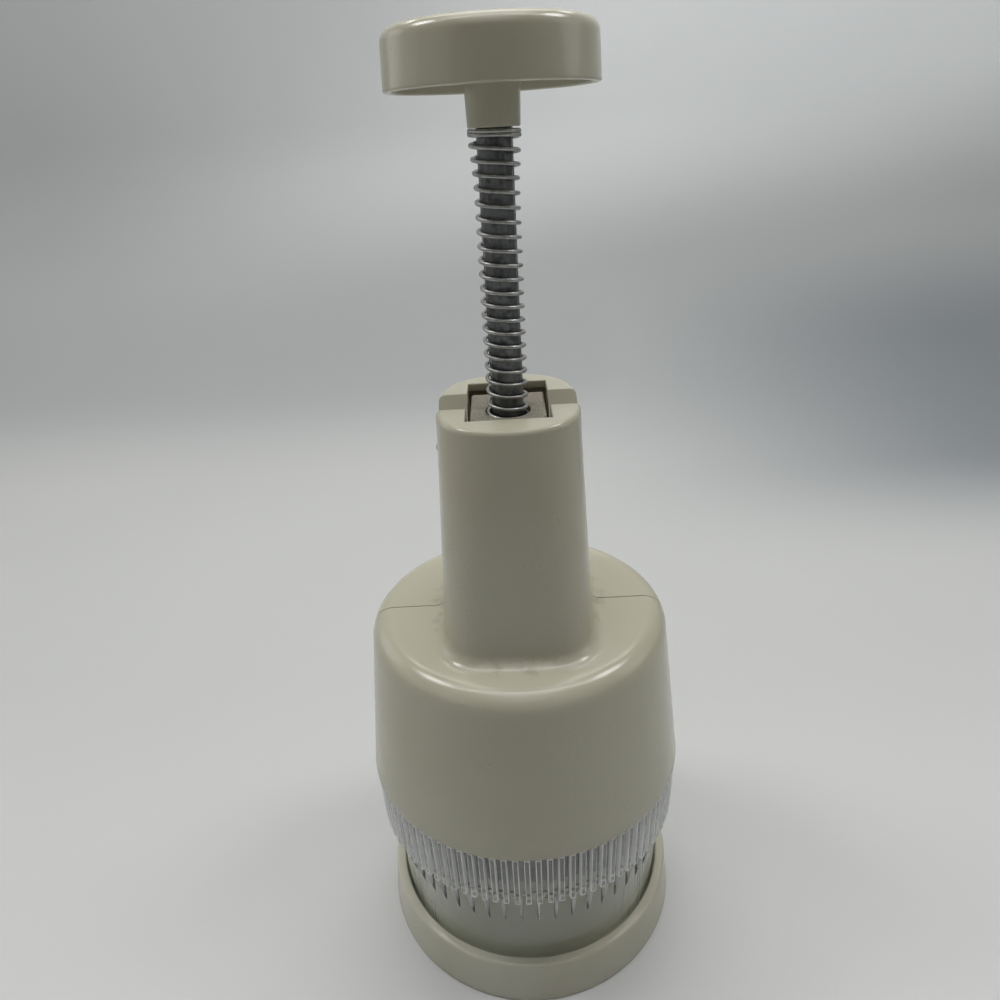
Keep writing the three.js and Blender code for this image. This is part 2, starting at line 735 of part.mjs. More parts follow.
// Least gap between turns of the wire, on points of the path that lie more than half a turn apart.
function leastWireGap(path, radius) {
  let least = Infinity;
  path.forEach((p, i) => {
    path.slice(i + stepsPerCoil / 2 + 1).forEach((q) => {
      least = Math.min(least, p.distanceTo(q));
    });
  });
  return least - 2 * radius;
}

// Places that several pieces share
const indexScrewX = toothOuterRadius + indexHeadRadius + seatGap;
const crownScrewY = (hubRadius + toothOuterRadius) / 2;
const bumperZ = blockFootZ + blockFootHeight / 2;
const clipZ = bumperZ - seatGap - clipThickness;

const chopper = new THREE.Group();

function addPiece(name, made, material) {
  const mesh = new THREE.Mesh(geometryOf(made), material);
  mesh.name = name;
  chopper.add(mesh);
}

const whole = housing();
addPiece("base_cup", baseCup(), cream);
addPiece("clear_chamber", clearChamber(), clearPlastic);
addPiece("scraper_disc", scraperDisc(), innerCream);
addPiece("front_shell", halfShell(whole, -1), cream);
addPiece("rear_shell", halfShell(whole, 1), cream);
addPiece("guide_block", guideBlock(), innerCream);
addPiece("front_hinge_pin", hingePin(-pinOffset), steel);
addPiece("rear_hinge_pin", hingePin(pinOffset), steel);
addPiece("index_ring", indexRing(), innerCream);
addPiece("index_screw_left", indexScrew(-1), steel);
addPiece("index_screw_right", indexScrew(1), steel);
addPiece("stop_bumper", washer(bumperRadius, rodBore, bumperZ, bumperZ + bumperThickness), rubber);
const clipBore = rodRadius - grooveDepth + slideGap;
addPiece("stop_clip", washer(clipRadius, clipBore, clipZ, clipZ + clipThickness), steel);
addPiece("knob", knob(), cream);
addPiece("plunger_rod", plungerRod(), steel);
const wire = springPath();
console.log("least gap between turns of the spring: " + leastWireGap(wire, wireRadius).toFixed(2) + " mm");
addPiece("return_spring", wireAlong(wire, wireRadius, wireSides), springSteel);
addPiece("ratchet_crown", ratchetCrown(), innerCream);
addPiece("crown_screw_1", crownScrew(-1), steel);
addPiece("crown_screw_2", crownScrew(1), steel);
addPiece("blade_carrier", bladeCarrier(), innerCream);
addPiece("zigzag_blade", zigzagBlade(), bladeSteel);

export default chopper;
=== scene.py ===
# Plunger food chopper, dressed: every CAD node gets a finer mesh and its finish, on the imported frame.
# Shapes are worked out in millimetres on numpy grids and written to meshes in metres.
import json
import math
from types import SimpleNamespace
import bpy
import numpy as np
from mathutils import Matrix, Vector


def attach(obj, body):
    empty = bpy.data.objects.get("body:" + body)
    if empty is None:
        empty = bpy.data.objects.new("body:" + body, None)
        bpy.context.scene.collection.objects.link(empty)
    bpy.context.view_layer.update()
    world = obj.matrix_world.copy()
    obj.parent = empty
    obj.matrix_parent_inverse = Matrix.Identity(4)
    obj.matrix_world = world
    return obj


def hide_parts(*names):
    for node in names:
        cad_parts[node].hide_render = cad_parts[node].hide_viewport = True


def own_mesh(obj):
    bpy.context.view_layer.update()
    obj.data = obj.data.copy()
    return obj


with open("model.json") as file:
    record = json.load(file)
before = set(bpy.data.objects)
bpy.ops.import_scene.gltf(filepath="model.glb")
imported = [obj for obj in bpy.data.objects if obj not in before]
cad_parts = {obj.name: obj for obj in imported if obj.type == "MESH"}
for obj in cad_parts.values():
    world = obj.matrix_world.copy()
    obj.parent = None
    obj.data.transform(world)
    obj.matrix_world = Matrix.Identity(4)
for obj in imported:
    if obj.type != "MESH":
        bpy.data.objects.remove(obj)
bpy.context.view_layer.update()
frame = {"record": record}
mm = 0.001
fullTurn = 2 * math.pi
bodyOf = {node: body for body, nodes in frame["record"]["behaviour"]["bodies"].items() for node in nodes}


def named(values):  # a dictionary's values, each read by its name
    return SimpleNamespace(**values)


# Rows of quads over a grid of points: (i, j), (i, j+1), (i+1, j+1), (i+1, j), wrapped round where asked.
def gridFaces(rows, columns, wrapRows=False, wrapColumns=False):
    i = np.arange(rows if wrapRows else rows - 1)[:, None]
    j = np.arange(columns if wrapColumns else columns - 1)[None, :]
    i2, j2 = (i + 1) % rows, (j + 1) % columns
    corners = [i * columns + j, i * columns + j2, i2 * columns + j2, i2 * columns + j]
    return np.stack(np.broadcast_arrays(*corners), -1).reshape(-1, 4)


# Points in millimetres and lists of faces, made one smooth object whose edges over the angle stay sharp.
def meshObject(name, points, faceSets, sharpAbove=32):
    mesh = bpy.data.meshes.new(name)
    faces = [face for faceSet in faceSets for face in np.asarray(faceSet).tolist()]
    mesh.from_pydata((np.asarray(points, float).reshape(-1, 3) * mm).tolist(), [], faces)
    mesh.validate()
    mesh.shade_smooth()
    mesh.set_sharp_from_angle(angle=math.radians(sharpAbove))
    piece = bpy.data.objects.new(name, mesh)
    bpy.context.scene.collection.objects.link(piece)
    return piece


# The piece rides on its node's body, stands for the node, and takes its finish and slot.
def place(piece, node, finish):
    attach(piece, bodyOf[node])
    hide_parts(node)
    piece.data.materials.clear()
    piece.data.materials.append(finish)
    print("made", piece.name)
    return piece


# A polyline with its corners rounded: each (x, y, radius) corner becomes an arc between its two
# tangent points.
def roundedLine(corners, closed=False, steps=7):
    points = np.array([c[:2] for c in corners], float)
    line = []
    for k, (_, _, radius) in enumerate(corners):
        if radius == 0 or (not closed and k in (0, len(corners) - 1)):
            line.append(points[k][None])
            continue
        before = points[k - 1] - points[k]
        after = points[(k + 1) % len(corners)] - points[k]
        before, after = before / np.linalg.norm(before), after / np.linalg.norm(after)
        half = math.acos(np.clip(before @ after, -1, 1)) / 2
        middle = points[k] + (before + after) / np.linalg.norm(before + after) * radius / math.sin(half)
        a = points[k] + before * radius / math.tan(half) - middle
        b = points[k] + after * radius / math.tan(half) - middle
        t = np.linspace(0, 1, steps)[:, None]
        arc = a * (1 - t) + b * t
        line.append(middle + arc / np.linalg.norm(arc, axis=1)[:, None] * radius)
    return np.concatenate(line)


# Long straight runs of a line are split so that no step is longer than the given one.
def evenly(line, step):
    out = [line[:1]]
    for a, b in zip(line[:-1], line[1:]):
        count = max(1, math.ceil(np.linalg.norm(b - a) / step))
        out.append(a + (b - a) * np.linspace(0, 1, count + 1)[1:, None])
    return np.concatenate(out)


def between(a, b, share):  # a where the share is 0, b where it is 1
    return a * (1 - share) + b * share


# Points round the upright axis: x = r cos a, y = r sin a, where the radius may differ by angle.
def ringRow(angle, r, z):
    return np.stack([r * np.cos(angle), r * np.sin(angle), z + 0 * angle], -1)


# A tube of rows, its two ends closed by fans to the two points that follow the grid.
def tubeFaces(rows, columns):
    ring, tip = np.arange(columns), np.full(columns, rows * columns)
    after, last = np.roll(ring, -1), (rows - 1) * columns
    foot, head = np.stack([tip, after, ring], -1), np.stack([ring + last, after + last, tip + 1], -1)
    return [gridFaces(rows, columns, wrapColumns=True), foot, head]


# Rows of points joined into one closed ring, round and across.
def ringPiece(name, rows, sharpAbove=30):
    loop = np.stack(rows)
    faces = gridFaces(*loop.shape[:2], wrapRows=True, wrapColumns=True)
    return meshObject(name, loop, [faces], sharpAbove)


# A profile of (r, z) turned about an axis through centre: x = r cos a, y = r sin a. One that starts and
# ends on the axis is closed by fans, and a closed one joins its last ring to its first. Along x,
# (x, y, z) becomes (z, x, y).
def turnedPiece(name, line, sides, closed=False, centre=(0, 0, 0), alongX=False):
    rings = line if closed else line[1:-1]
    points = ringRow(np.arange(sides) * fullTurn / sides, rings[:, :1], rings[:, 1:]).reshape(-1, 3)
    if closed:
        faces = [gridFaces(len(rings), sides, wrapRows=True, wrapColumns=True)]
    else:
        faces = tubeFaces(len(rings), sides)
        points = np.concatenate([points, [[0, 0, line[0, 1]], [0, 0, line[-1, 1]]]])
    if alongX:
        points = points[:, [2, 0, 1]]
    return meshObject(name, points + centre, faces)


# A plain round bar from one height to another, used as a cutter.
def bar(radius, low, high, centre, alongX=False):
    line = np.array([[0, low], [radius, low], [radius, high], [0, high]], float)
    return turnedPiece("cutter", line, sides=32, centre=centre, alongX=alongX)


# Two such bars, either side of the middle by x and y.
def barPair(radius, low, high, x, y, z=0, alongX=False):
    return [bar(radius, low, high, (side * x, side * y, z), alongX) for side in (-1, 1)]


# Cuts a piece by others, which are used up.
def carve(piece, cutters, sharpAbove=32):
    for cutter in cutters:
        cut = piece.modifiers.new("cut", "BOOLEAN")
        cut.operation, cut.solver, cut.object = "DIFFERENCE", "EXACT", cutter
    bpy.context.view_layer.update()
    shaped = bpy.data.meshes.new_from_object(piece.evaluated_get(bpy.context.evaluated_depsgraph_get()))
    piece.modifiers.clear()
    whole, piece.data = piece.data, shaped
    shaped.shade_smooth()
    shaped.set_sharp_from_angle(angle=math.radians(sharpAbove))
    for spent in [whole, *(cutter.data for cutter in cutters)]:
        bpy.data.meshes.remove(spent)  # takes the cutter's object with it
    return piece


# One value in a material: arithmetic on it adds Math nodes.
class Value:
    def __init__(self, finish, socket):
        self.finish, self.socket = finish, socket

    def math(self, operation, *others, first=None):
        terms = [self, *others] if first is None else [first, self]
        return self.finish.node("ShaderNodeMath", {"operation": operation}, dict(enumerate(terms)))

    def __add__(self, other):
        return self.math("ADD", other)

    __radd__ = __add__

    def __sub__(self, other):
        return self.math("SUBTRACT", other)

    def __rsub__(self, other):
        return self.math("SUBTRACT", first=other)

    def __mul__(self, other):
        return self.math("MULTIPLY", other)

    def __truediv__(self, other):
        return self.math("DIVIDE", other)

    def __pow__(self, other):
        return self.math("POWER", other)

    def over(self, low, high):  # 0 below low, 1 above high, smooth between
        settings, values = {"interpolation_type": "SMOOTHSTEP"}, {"From Min": low, "From Max": high}
        return self.finish.node("ShaderNodeMapRange", settings, {"Value": self, **values})


# The node tree of one finish, or of the room round the scene.
class Finish:
    def __init__(self, name, room=None):
        self.material = room or bpy.data.materials.new(name)
        self.material.use_nodes = True
        self.tree = self.material.node_tree
        self.tree.nodes.clear()
        self.place = self.node("ShaderNodeTexCoord", {}, {}, "Object")

    # Any node: its settings first, then the values or links of its sockets.
    def node(self, kind, settings, values, output=0):
        made = self.tree.nodes.new(kind)
        for key, value in settings.items():
            setattr(made, key, value)
        for key, value in values.items():
            if isinstance(value, Value):
                self.tree.links.new(value.socket, made.inputs[key])
            else:
                made.inputs[key].default_value = value
        return Value(self, made.outputs[output]) if len(made.outputs) else None

    def noise(self, scale, detail=3, roughness=0.5, stretch=(1, 1, 1)):
        where = self.node("ShaderNodeMapping", {}, {"Vector": self.place, "Scale": stretch})
        values = {"Vector": where, "Scale": scale, "Detail": detail, "Roughness": roughness}
        return self.node("ShaderNodeTexNoise", {}, values)

    def axis(self, name):
        return self.node("ShaderNodeSeparateXYZ", {}, {"Vector": self.place}, name)

    def radius(self):  # distance from the upright axis
        return (self.axis("X") ** 2 + self.axis("Y") ** 2) ** 0.5

    # 1 where the camera or clear plastic looks, a share of it in reflections, 0 as light.
    def seen(self, glossShare):
        kinds = ("Is Camera Ray", "Is Glossy Ray", "Is Transmission Ray")
        camera, glossy, clear = (self.node("ShaderNodeLightPath", {}, {}, kind) for kind in kinds)
        return camera.math("MAXIMUM", glossy * glossShare).math("MAXIMUM", clear)

    def blend(self, factor, a, b):  # colour a where the factor is 0, b where it is 1
        a, b = (tone if isinstance(tone, Value) else (*tone, 1) for tone in (a, b))
        return self.node("ShaderNodeMix", {"data_type": "RGBA"}, {0: factor, 6: a, 7: b}, 2)

    def bump(self, height, strength, distance):
        values = {"Strength": strength, "Distance": distance}
        return self.node("ShaderNodeBump", {}, {"Height": height, **values})

    def principled(self, values):
        return self.node("ShaderNodeBsdfPrincipled", {}, values)

    def mixed(self, factor, a, b):  # shader a where the factor is 0, b where it is 1
        return self.node("ShaderNodeMixShader", {}, {0: factor, 1: a, 2: b})

    def surface(self, shader):
        self.node("ShaderNodeOutputMaterial", {}, {"Surface": shader})
        return self.material

    # One plain surface: its tone, its roughness, a height for its bump, and any other values.
    def coat(self, tone, rough, height, bump, others):
        values = {"Base Color": tone, "Roughness": rough, "Normal": self.bump(height, *bump), **others}
        return self.surface(self.principled(values))


mouldings = {  # colour, roughness, and where they differ, how many specks, how strong a stain or grain
    "ivoryPlastic": {"shade": (0.470, 0.452, 0.352), "roughness": 0.15},
    "cupPlastic": {"shade": (0.555, 0.541, 0.437), "roughness": 0.15},
    "shellPlastic": {"shade": (0.470, 0.452, 0.352), "roughness": 0.15, "specks": 1.4, "stain": 0.45},
    "innerPlastic": {"shade": (0.43, 0.41, 0.32), "roughness": 0.5, "specks": 0.6, "grain": 0.4},
}
plasticLook = {
    "yellowed": (0.425, 0.395, 0.285), "grime": (0.20, 0.17, 0.115), "drift": 0.5, "driftScale": 22,
    "speck": 0.4, "speckScale": 2400, "speckPatches": 70, "grainScale": 1800,
    "bump": (0.12, 0.0004),  # strength and height, as in each look below
    "scratchScale": 260, "scratchStretch": (1, 1, 0.06), "scratchHeight": -0.12, "scratchRough": 0.05,
    "roughScale": 35, "roughSpread": 0.09, "glow": 0.04, "glowReach": (0.004, 0.0035, 0.0025),
    "stainHalfWidth": 0.0235, "stainHalfDepth": 0.0318, "stainFoot": 0.1095, "stainTop": 0.113,
    "stainScale": 220,
}


# Moulded plastic: broad drifts of tone, sparse dark specks, faint scratches, and where asked a stain
# round the neck's foot, by the distance from an ellipse: ((x / a)^2 + (y / b)^2)^0.5.
def mouldedPlastic(name, shade, roughness, specks=1.0, stain=0.0, grain=0.15):
    f, p = Finish(name), named(plasticLook)
    drift = f.noise(p.driftScale, 4).over(0.35, 0.7)
    tone = f.blend(drift * p.drift, shade, p.yellowed)
    dots = f.noise(p.speckScale, 2, 0.6).over(0.63, 0.72)
    dots = dots * f.noise(p.speckPatches, 3).over(0.46, 0.62) * specks
    tone = f.blend(dots * p.speck, tone, p.grime)
    if stain:
        away = ((f.axis("X") / p.stainHalfWidth) ** 2 + (f.axis("Y") / p.stainHalfDepth) ** 2) ** 0.5
        low = 1 - f.axis("Z").over(p.stainFoot, p.stainTop)
        foot = (1 - away.over(0.92, 1.12)) * low * f.noise(p.stainScale, 5, 0.6).over(0.45, 0.7)
        tone = f.blend(foot * stain, tone, p.grime)
    scratches = f.noise(p.scratchScale, 2, 0.7, p.scratchStretch).over(0.6, 0.72)
    height = f.noise(p.grainScale, 2) * grain + scratches * p.scratchHeight
    rough = roughness + f.noise(p.roughScale, 4) * p.roughSpread + scratches * p.scratchRough
    glow = {"Subsurface Weight": p.glow, "Subsurface Radius": p.glowReach, "Subsurface Scale": 1.0}
    return f.coat(tone, rough, height, p.bump, glow)


frostedLook = {
    # the base shade is set dark as painted shade of the recess the block sits in
    "shade": (0.27, 0.255, 0.195), "speckle": (0.15, 0.135, 0.10), "behind": (0.19, 0.155, 0.125),
    "speckleShare": 0.6, "behindShare": 0.45, "scale": 1500, "creaseFrom": 0.0002, "creaseTo": 0.0009,
    "roughness": 0.62, "roughSpread": 0.15, "bump": (0.35, 0.0003),
}


# Frosted moulding of the guide block: speckled, a little darker and pinker behind its crease, and darkened
# overall as painted shade of the recess it sits in.
def frostedPlastic(name):
    f, p = Finish(name), named(frostedLook)
    speckle = f.noise(p.scale, 4, 0.7).over(0.42, 0.62)
    tone = f.blend(speckle * p.speckleShare, p.shade, p.speckle)
    behind = f.axis("Y").over(p.creaseFrom, p.creaseTo)
    tone = f.blend(behind * p.behindShare, tone, p.behind)
    return f.coat(tone, p.roughness + speckle * p.roughSpread, speckle, p.bump, {})


metals = {  # base tone, dark tone and roughness, and where they differ, mottling, marks and flats
    "rodSteel": {
        "shade": (0.21, 0.222, 0.218), "dark": (0.055, 0.059, 0.057), "roughness": 0.34, "mottle": 0.8,
        "flats": 12, "flatTone": (0.085, 0.080, 0.077),
    },
    "wireSteel": {"shade": (0.38, 0.38, 0.365), "dark": (0.15, 0.15, 0.145), "roughness": 0.27},
    "pinSteel": {"shade": (0.34, 0.33, 0.31), "dark": (0.14, 0.13, 0.12), "roughness": 0.34},
    "bladeSteel": {
        "shade": (0.58, 0.59, 0.60), "dark": (0.36, 0.37, 0.38), "roughness": 0.26, "mottle": 0.25,
        "stretch": (1, 1, 0.03), "marks": 500,
    },
}
metalLook = {
    "patchScale": 420, "markShare": 0.3, "patchRough": 0.12, "markRough": 0.1,
    "bump": (0.15, 0.0002), "flatStep": 2.3, "flatSpread": 0.3,
}


# Metal: a base tone broken by mottling, with fine marks along one direction. Each flat of a bar has its
# own tone, from the sine of a step times the flat's number.
def drawnMetal(name, shade, dark, roughness, mottle=0.5, stretch=(1, 1, 0.04), marks=700,
               flats=0, flatTone=None):
    f, p = Finish(name), named(metalLook)
    patch = f.noise(p.patchScale, 5, 0.65).over(0.42, 0.66)
    line = f.noise(marks, 3, 0.6, stretch)
    tone = f.blend(patch * mottle, shade, dark)
    tone = f.blend(line.over(0.45, 0.75) * p.markShare, tone, dark)
    if flats:
        flat = (f.axis("Y").math("ARCTAN2", f.axis("X")) * (flats / fullTurn)).math("FLOOR")
        share = (flat * p.flatStep).math("SINE") * p.flatSpread + p.flatSpread
        tone = f.blend(share, tone, flatTone)
    rough = roughness + patch * p.patchRough + line * p.markRough
    return f.coat(tone, rough, line + patch * 0.5, p.bump, {"Metallic": 1.0})


clearLook = {
    # the milk colour is the white of the painted highlights and of the faint milkiness
    "tint": (0.90, 0.925, 0.915), "milk": (0.95, 0.955, 0.945), "shade": (0.62, 0.63, 0.61), "haze": 0.09,
    "crest": 0.06, "flank": 1.0, "web": 0.7, "foot": 1.0, "roughness": 0.06, "milkRoughness": 0.35,
    "hazeScale": 90, "scratchScale": 500, "scratchStretch": (1, 1, 0.08), "bump": (0.1, 0.0002),
}
milkAndHighlightEdges = {  # soft edges of the milky white and its painted highlights, as shares of rise or depth; webOut is in mm out from the wall
    "bandFoot": (-0.01, 0.005), "bandTop": (0.99, 1.01), "crest": (0.25, 0.5), "flankFoot": (0.12, 0.3),
    "flankTop": (0.97, 0.99), "footFrom": (-0.03, -0.01), "footTo": (0.02, 0.05),
    "footDepth": (0.35, 0.6), "webOut": (0.05, 0.6), "webFrom": (-0.85, -0.2), "webTo": (-0.06, -0.01),
}


# Clear moulded plastic with milky white on its edges: partly a faint milkiness of the plastic, partly
# painted highlights for the light the ribs catch. Rise is the share of the band's height, and depth the
# share of a rib's depth: (radius - root) / depth. The white is faint on the crests and as a haze over the
# band; as painted highlight it is full on the flanks and at the ribs' feet, and a little less along the
# webs. Shadow rays pass through, only dimmed, so that the inside is lit.
def clearPlastic(name):
    f, c, look, e = Finish(name), named(chamberShape), named(clearLook), named(milkAndHighlightEdges)
    haze = f.noise(look.hazeScale, 4).over(0.4, 0.75)
    scratch = f.noise(look.scratchScale, 2, 0.7, look.scratchStretch).over(0.58, 0.7)
    rise = (f.axis("Z") - c.bandFoot * mm) / ((c.bandTop - c.bandFoot) * mm)
    root = (c.crestFoot - c.ribDepth) * mm
    depth = (f.radius() - root - rise * ((c.crestTop - c.crestFoot) * mm)) / (c.ribDepth * mm)
    inBand = rise.over(*e.bandFoot) * (1 - rise.over(*e.bandTop))
    crest = depth.over(*e.crest) * inBand
    flank = depth.over(*e.flankFoot) * (1 - depth.over(*e.flankTop)) * inBand
    foot = (1 - rise.over(*e.footTo)) * depth.over(*e.footDepth) * rise.over(*e.footFrom)
    web = f.radius().over(*((c.skirt + out) * mm for out in e.webOut))
    web = web * (1 - rise.over(*e.webTo)) * rise.over(*e.webFrom)
    # milky white: faint real milkiness on crests and band, painted highlight on flanks, rib feet and webs
    milk = crest * look.crest
    for share, full in ((flank, look.flank), (foot, look.foot), (web, look.web)):
        milk = milk.math("MAXIMUM", share * full)
    milk = milk * (0.85 + haze * 0.15) + inBand * look.haze
    glass = f.principled({
        "Base Color": (*look.tint, 1), "Roughness": look.roughness + haze * 0.08 + scratch * 0.1,
        "Transmission Weight": 1.0, "Normal": f.bump(scratch, *look.bump),
    })
    passing = f.node("ShaderNodeBsdfTransparent", {}, {"Color": (*look.shade, 1)})
    glass = f.mixed(f.node("ShaderNodeLightPath", {}, {}, "Is Shadow Ray"), glass, passing)
    # the white shader that shows the painted highlights and the faint milkiness
    milkyHighlight = f.principled({"Base Color": (*look.milk, 1), "Roughness": look.milkRoughness})
    return f.surface(f.mixed(milk, glass, milkyHighlight))


rubberLook = {
    "shade": (0.035, 0.034, 0.032), "dusty": (0.065, 0.062, 0.056), "dustScale": 80, "grainScale": 1500,
    "roughness": 0.75, "roughSpread": 0.15, "bump": (0.3, 0.0003),
}


# Black rubber with a fine matte grain.
def plainRubber(name):
    f, p = Finish(name), named(rubberLook)
    grain = f.noise(p.grainScale, 3)
    tone = f.blend(f.noise(p.dustScale, 3).over(0.4, 0.7), p.shade, p.dusty)
    return f.coat(tone, p.roughness + grain * p.roughSpread, grain, p.bump, {})


ivory, cupIvory, shellIvory, innerIvory = (mouldedPlastic(name, **look) for name, look in mouldings.items())
frosted = frostedPlastic("frostedPlastic")
rodSteel, wireSteel, pinSteel, bladeSteel = (drawnMetal(name, **look) for name, look in metals.items())
blackRubber = plainRubber("blackRubber")
print("finishes made")


cupShape = {
    "height": 14.0, "floor": 3.2, "footRadius": 45.9, "rimRadius": 44.5, "bore": 41.6, "recess": 0.8,
    "land": 3.0,
}


# Turned from under its floor outwards, with a rounded rim and a soft inner corner.
def baseCup():
    c = named(cupShape)
    line = roundedLine([
        (0, c.recess, 0), (c.footRadius - c.land, c.recess, 0.3), (c.footRadius - c.land, 0, 0.3),
        (c.footRadius, 0, 0.6), (c.rimRadius, c.height, 0.9), (c.bore, c.height, 0.6),
        (c.bore, c.floor, 1.2), (0, c.floor, 0),
    ])
    return turnedPiece("baseCupFine", evenly(line, step=3), sides=256)


place(baseCup(), "base_cup", cupIvory)


chamberShape = {
    "foot": 3.5, "bandFoot": 41.9, "bandTop": 59.6, "top": 64.8, "ledge": 43.0,
    "skirt": 41.15, "skirtBore": 39.15, "bandBore": 41.4, "collar": 42.9, "round": 0.3,
    "crestFoot": 45.3, "crestTop": 45.8, "ribDepth": 1.7, "ribs": 94, "ribTurn": 268.7,
    "webs": 54, "webTurn": 272.3, "webFoot": 28.1, "webReach": 3.3,
}
ribOutline = ((0, 0.15, 0.235, 0.25, 0.265, 0.29, 0.5), (1, 1, 0.94, 0.5, 0.05, 0, 0))
webOutline = ((0, 0.025, 0.055, 0.08, 0.105, 0.5), (1, 0.95, 0.5, 0.12, 0, 0))


# Radius = plain wall + share x depth. The share is a ridge read from its outline at the distance from the
# nearest ridge's middle, as a part of the pitch. Columns stand at every corner of the outlines.
def clearChamber():
    c = named(chamberShape)

    def corners(count, turn, outline):
        step = np.arange(count)[:, None] + np.concatenate([outline[0], -np.array(outline[0])])
        return (step * fullTurn / count + math.radians(turn)).ravel() % fullTurn

    def ridge(count, turn, outline):
        fromMiddle = ((angle - math.radians(turn)) * count / fullTurn + 0.5) % 1 - 0.5
        return np.interp(np.abs(fromMiddle), *outline)

    ribPlan = (c.ribs, c.ribTurn, ribOutline)
    webPlan = (c.webs, c.webTurn, webOutline)
    angle = np.unique(np.round(np.concatenate([corners(*ribPlan), corners(*webPlan)]), 4))
    rib, web = ridge(*ribPlan), ridge(*webPlan)
    rows = []

    def row(z, radius):
        rows.append(ringRow(angle, radius, z))

    e, foot, ledge, top = c.round, c.foot, c.ledge, c.top
    low, high, collar, depth = c.bandFoot, c.bandTop, c.collar, c.ribDepth
    root, valley = c.crestFoot - depth, depth * (1 - rib)
    row(foot, c.skirt - e)
    for z in np.linspace(foot + e, c.webFoot, 7):  # the plain wall
        row(z, c.skirt)
    for share in (0.06, 0.15, 0.3, 0.5, 0.75, 1):  # the webs
        row(between(c.webFoot, low, share), c.skirt + web * c.webReach * share)
    row(low, root + (depth - e) * rib)
    row(low + e * 0.3, root + (depth - e * 0.3) * rib)
    for share in (0.02, 0.25, 0.5, 0.75, 0.98):  # the band
        row(between(low, high, share), between(c.crestFoot, c.crestTop, share) - valley)
    row(high, c.crestTop - e - valley)
    for z, radius in ((high, collar), (top - e, collar), (top, collar - e), (top, c.bandBore + e)):
        row(z, radius)
    for z in np.linspace(top - e, ledge, 6):  # the two bores
        row(z, c.bandBore)
    for z in np.linspace(ledge, foot + e, 7):
        row(z, c.skirtBore)
    row(foot, c.skirtBore + e)
    return ringPiece("clearChamberFine", rows, sharpAbove=40)


place(clearChamber(), "clear_chamber", clearPlastic("clearPlastic"))


housingShape = {
    "foot": 59.9, "footRadius": 46.0, "footRound": 0.3, "side": 102.8, "sideRadius": 41.3,
    "shoulder": 108.8, "round": 6.0, "neckTop": 168.8, "topHalfWidth": 17.5, "topHalfDepth": 22.0,
    "footHalfWidth": 20.0, "footHalfDepth": 28.6, "footPower": 4.1, "topPowerX": 2.2, "topPowerY": 3.2,
    "lip": 1.6, "fillet": 3.4, "roof": 2.1, "wall": 2.2, "cheekFoot": 152.0, "cheekSlope": 4,
    "cheekGap": 0.1, "openHalfWidth": 10.2, "openHalfDepth": 14.3, "openRound": 0.4, "roofRound": 0.2,
    "grooveHalfWidth": 5.6, "grooveFoot": 159.4, "squeezeReach": 9.0, "gap": 0.15,
    "pinHole": 1.3, "pinHoleEnd": 16.6, "pinY": 6.0, "columns": 129, "sharp": 28,
}


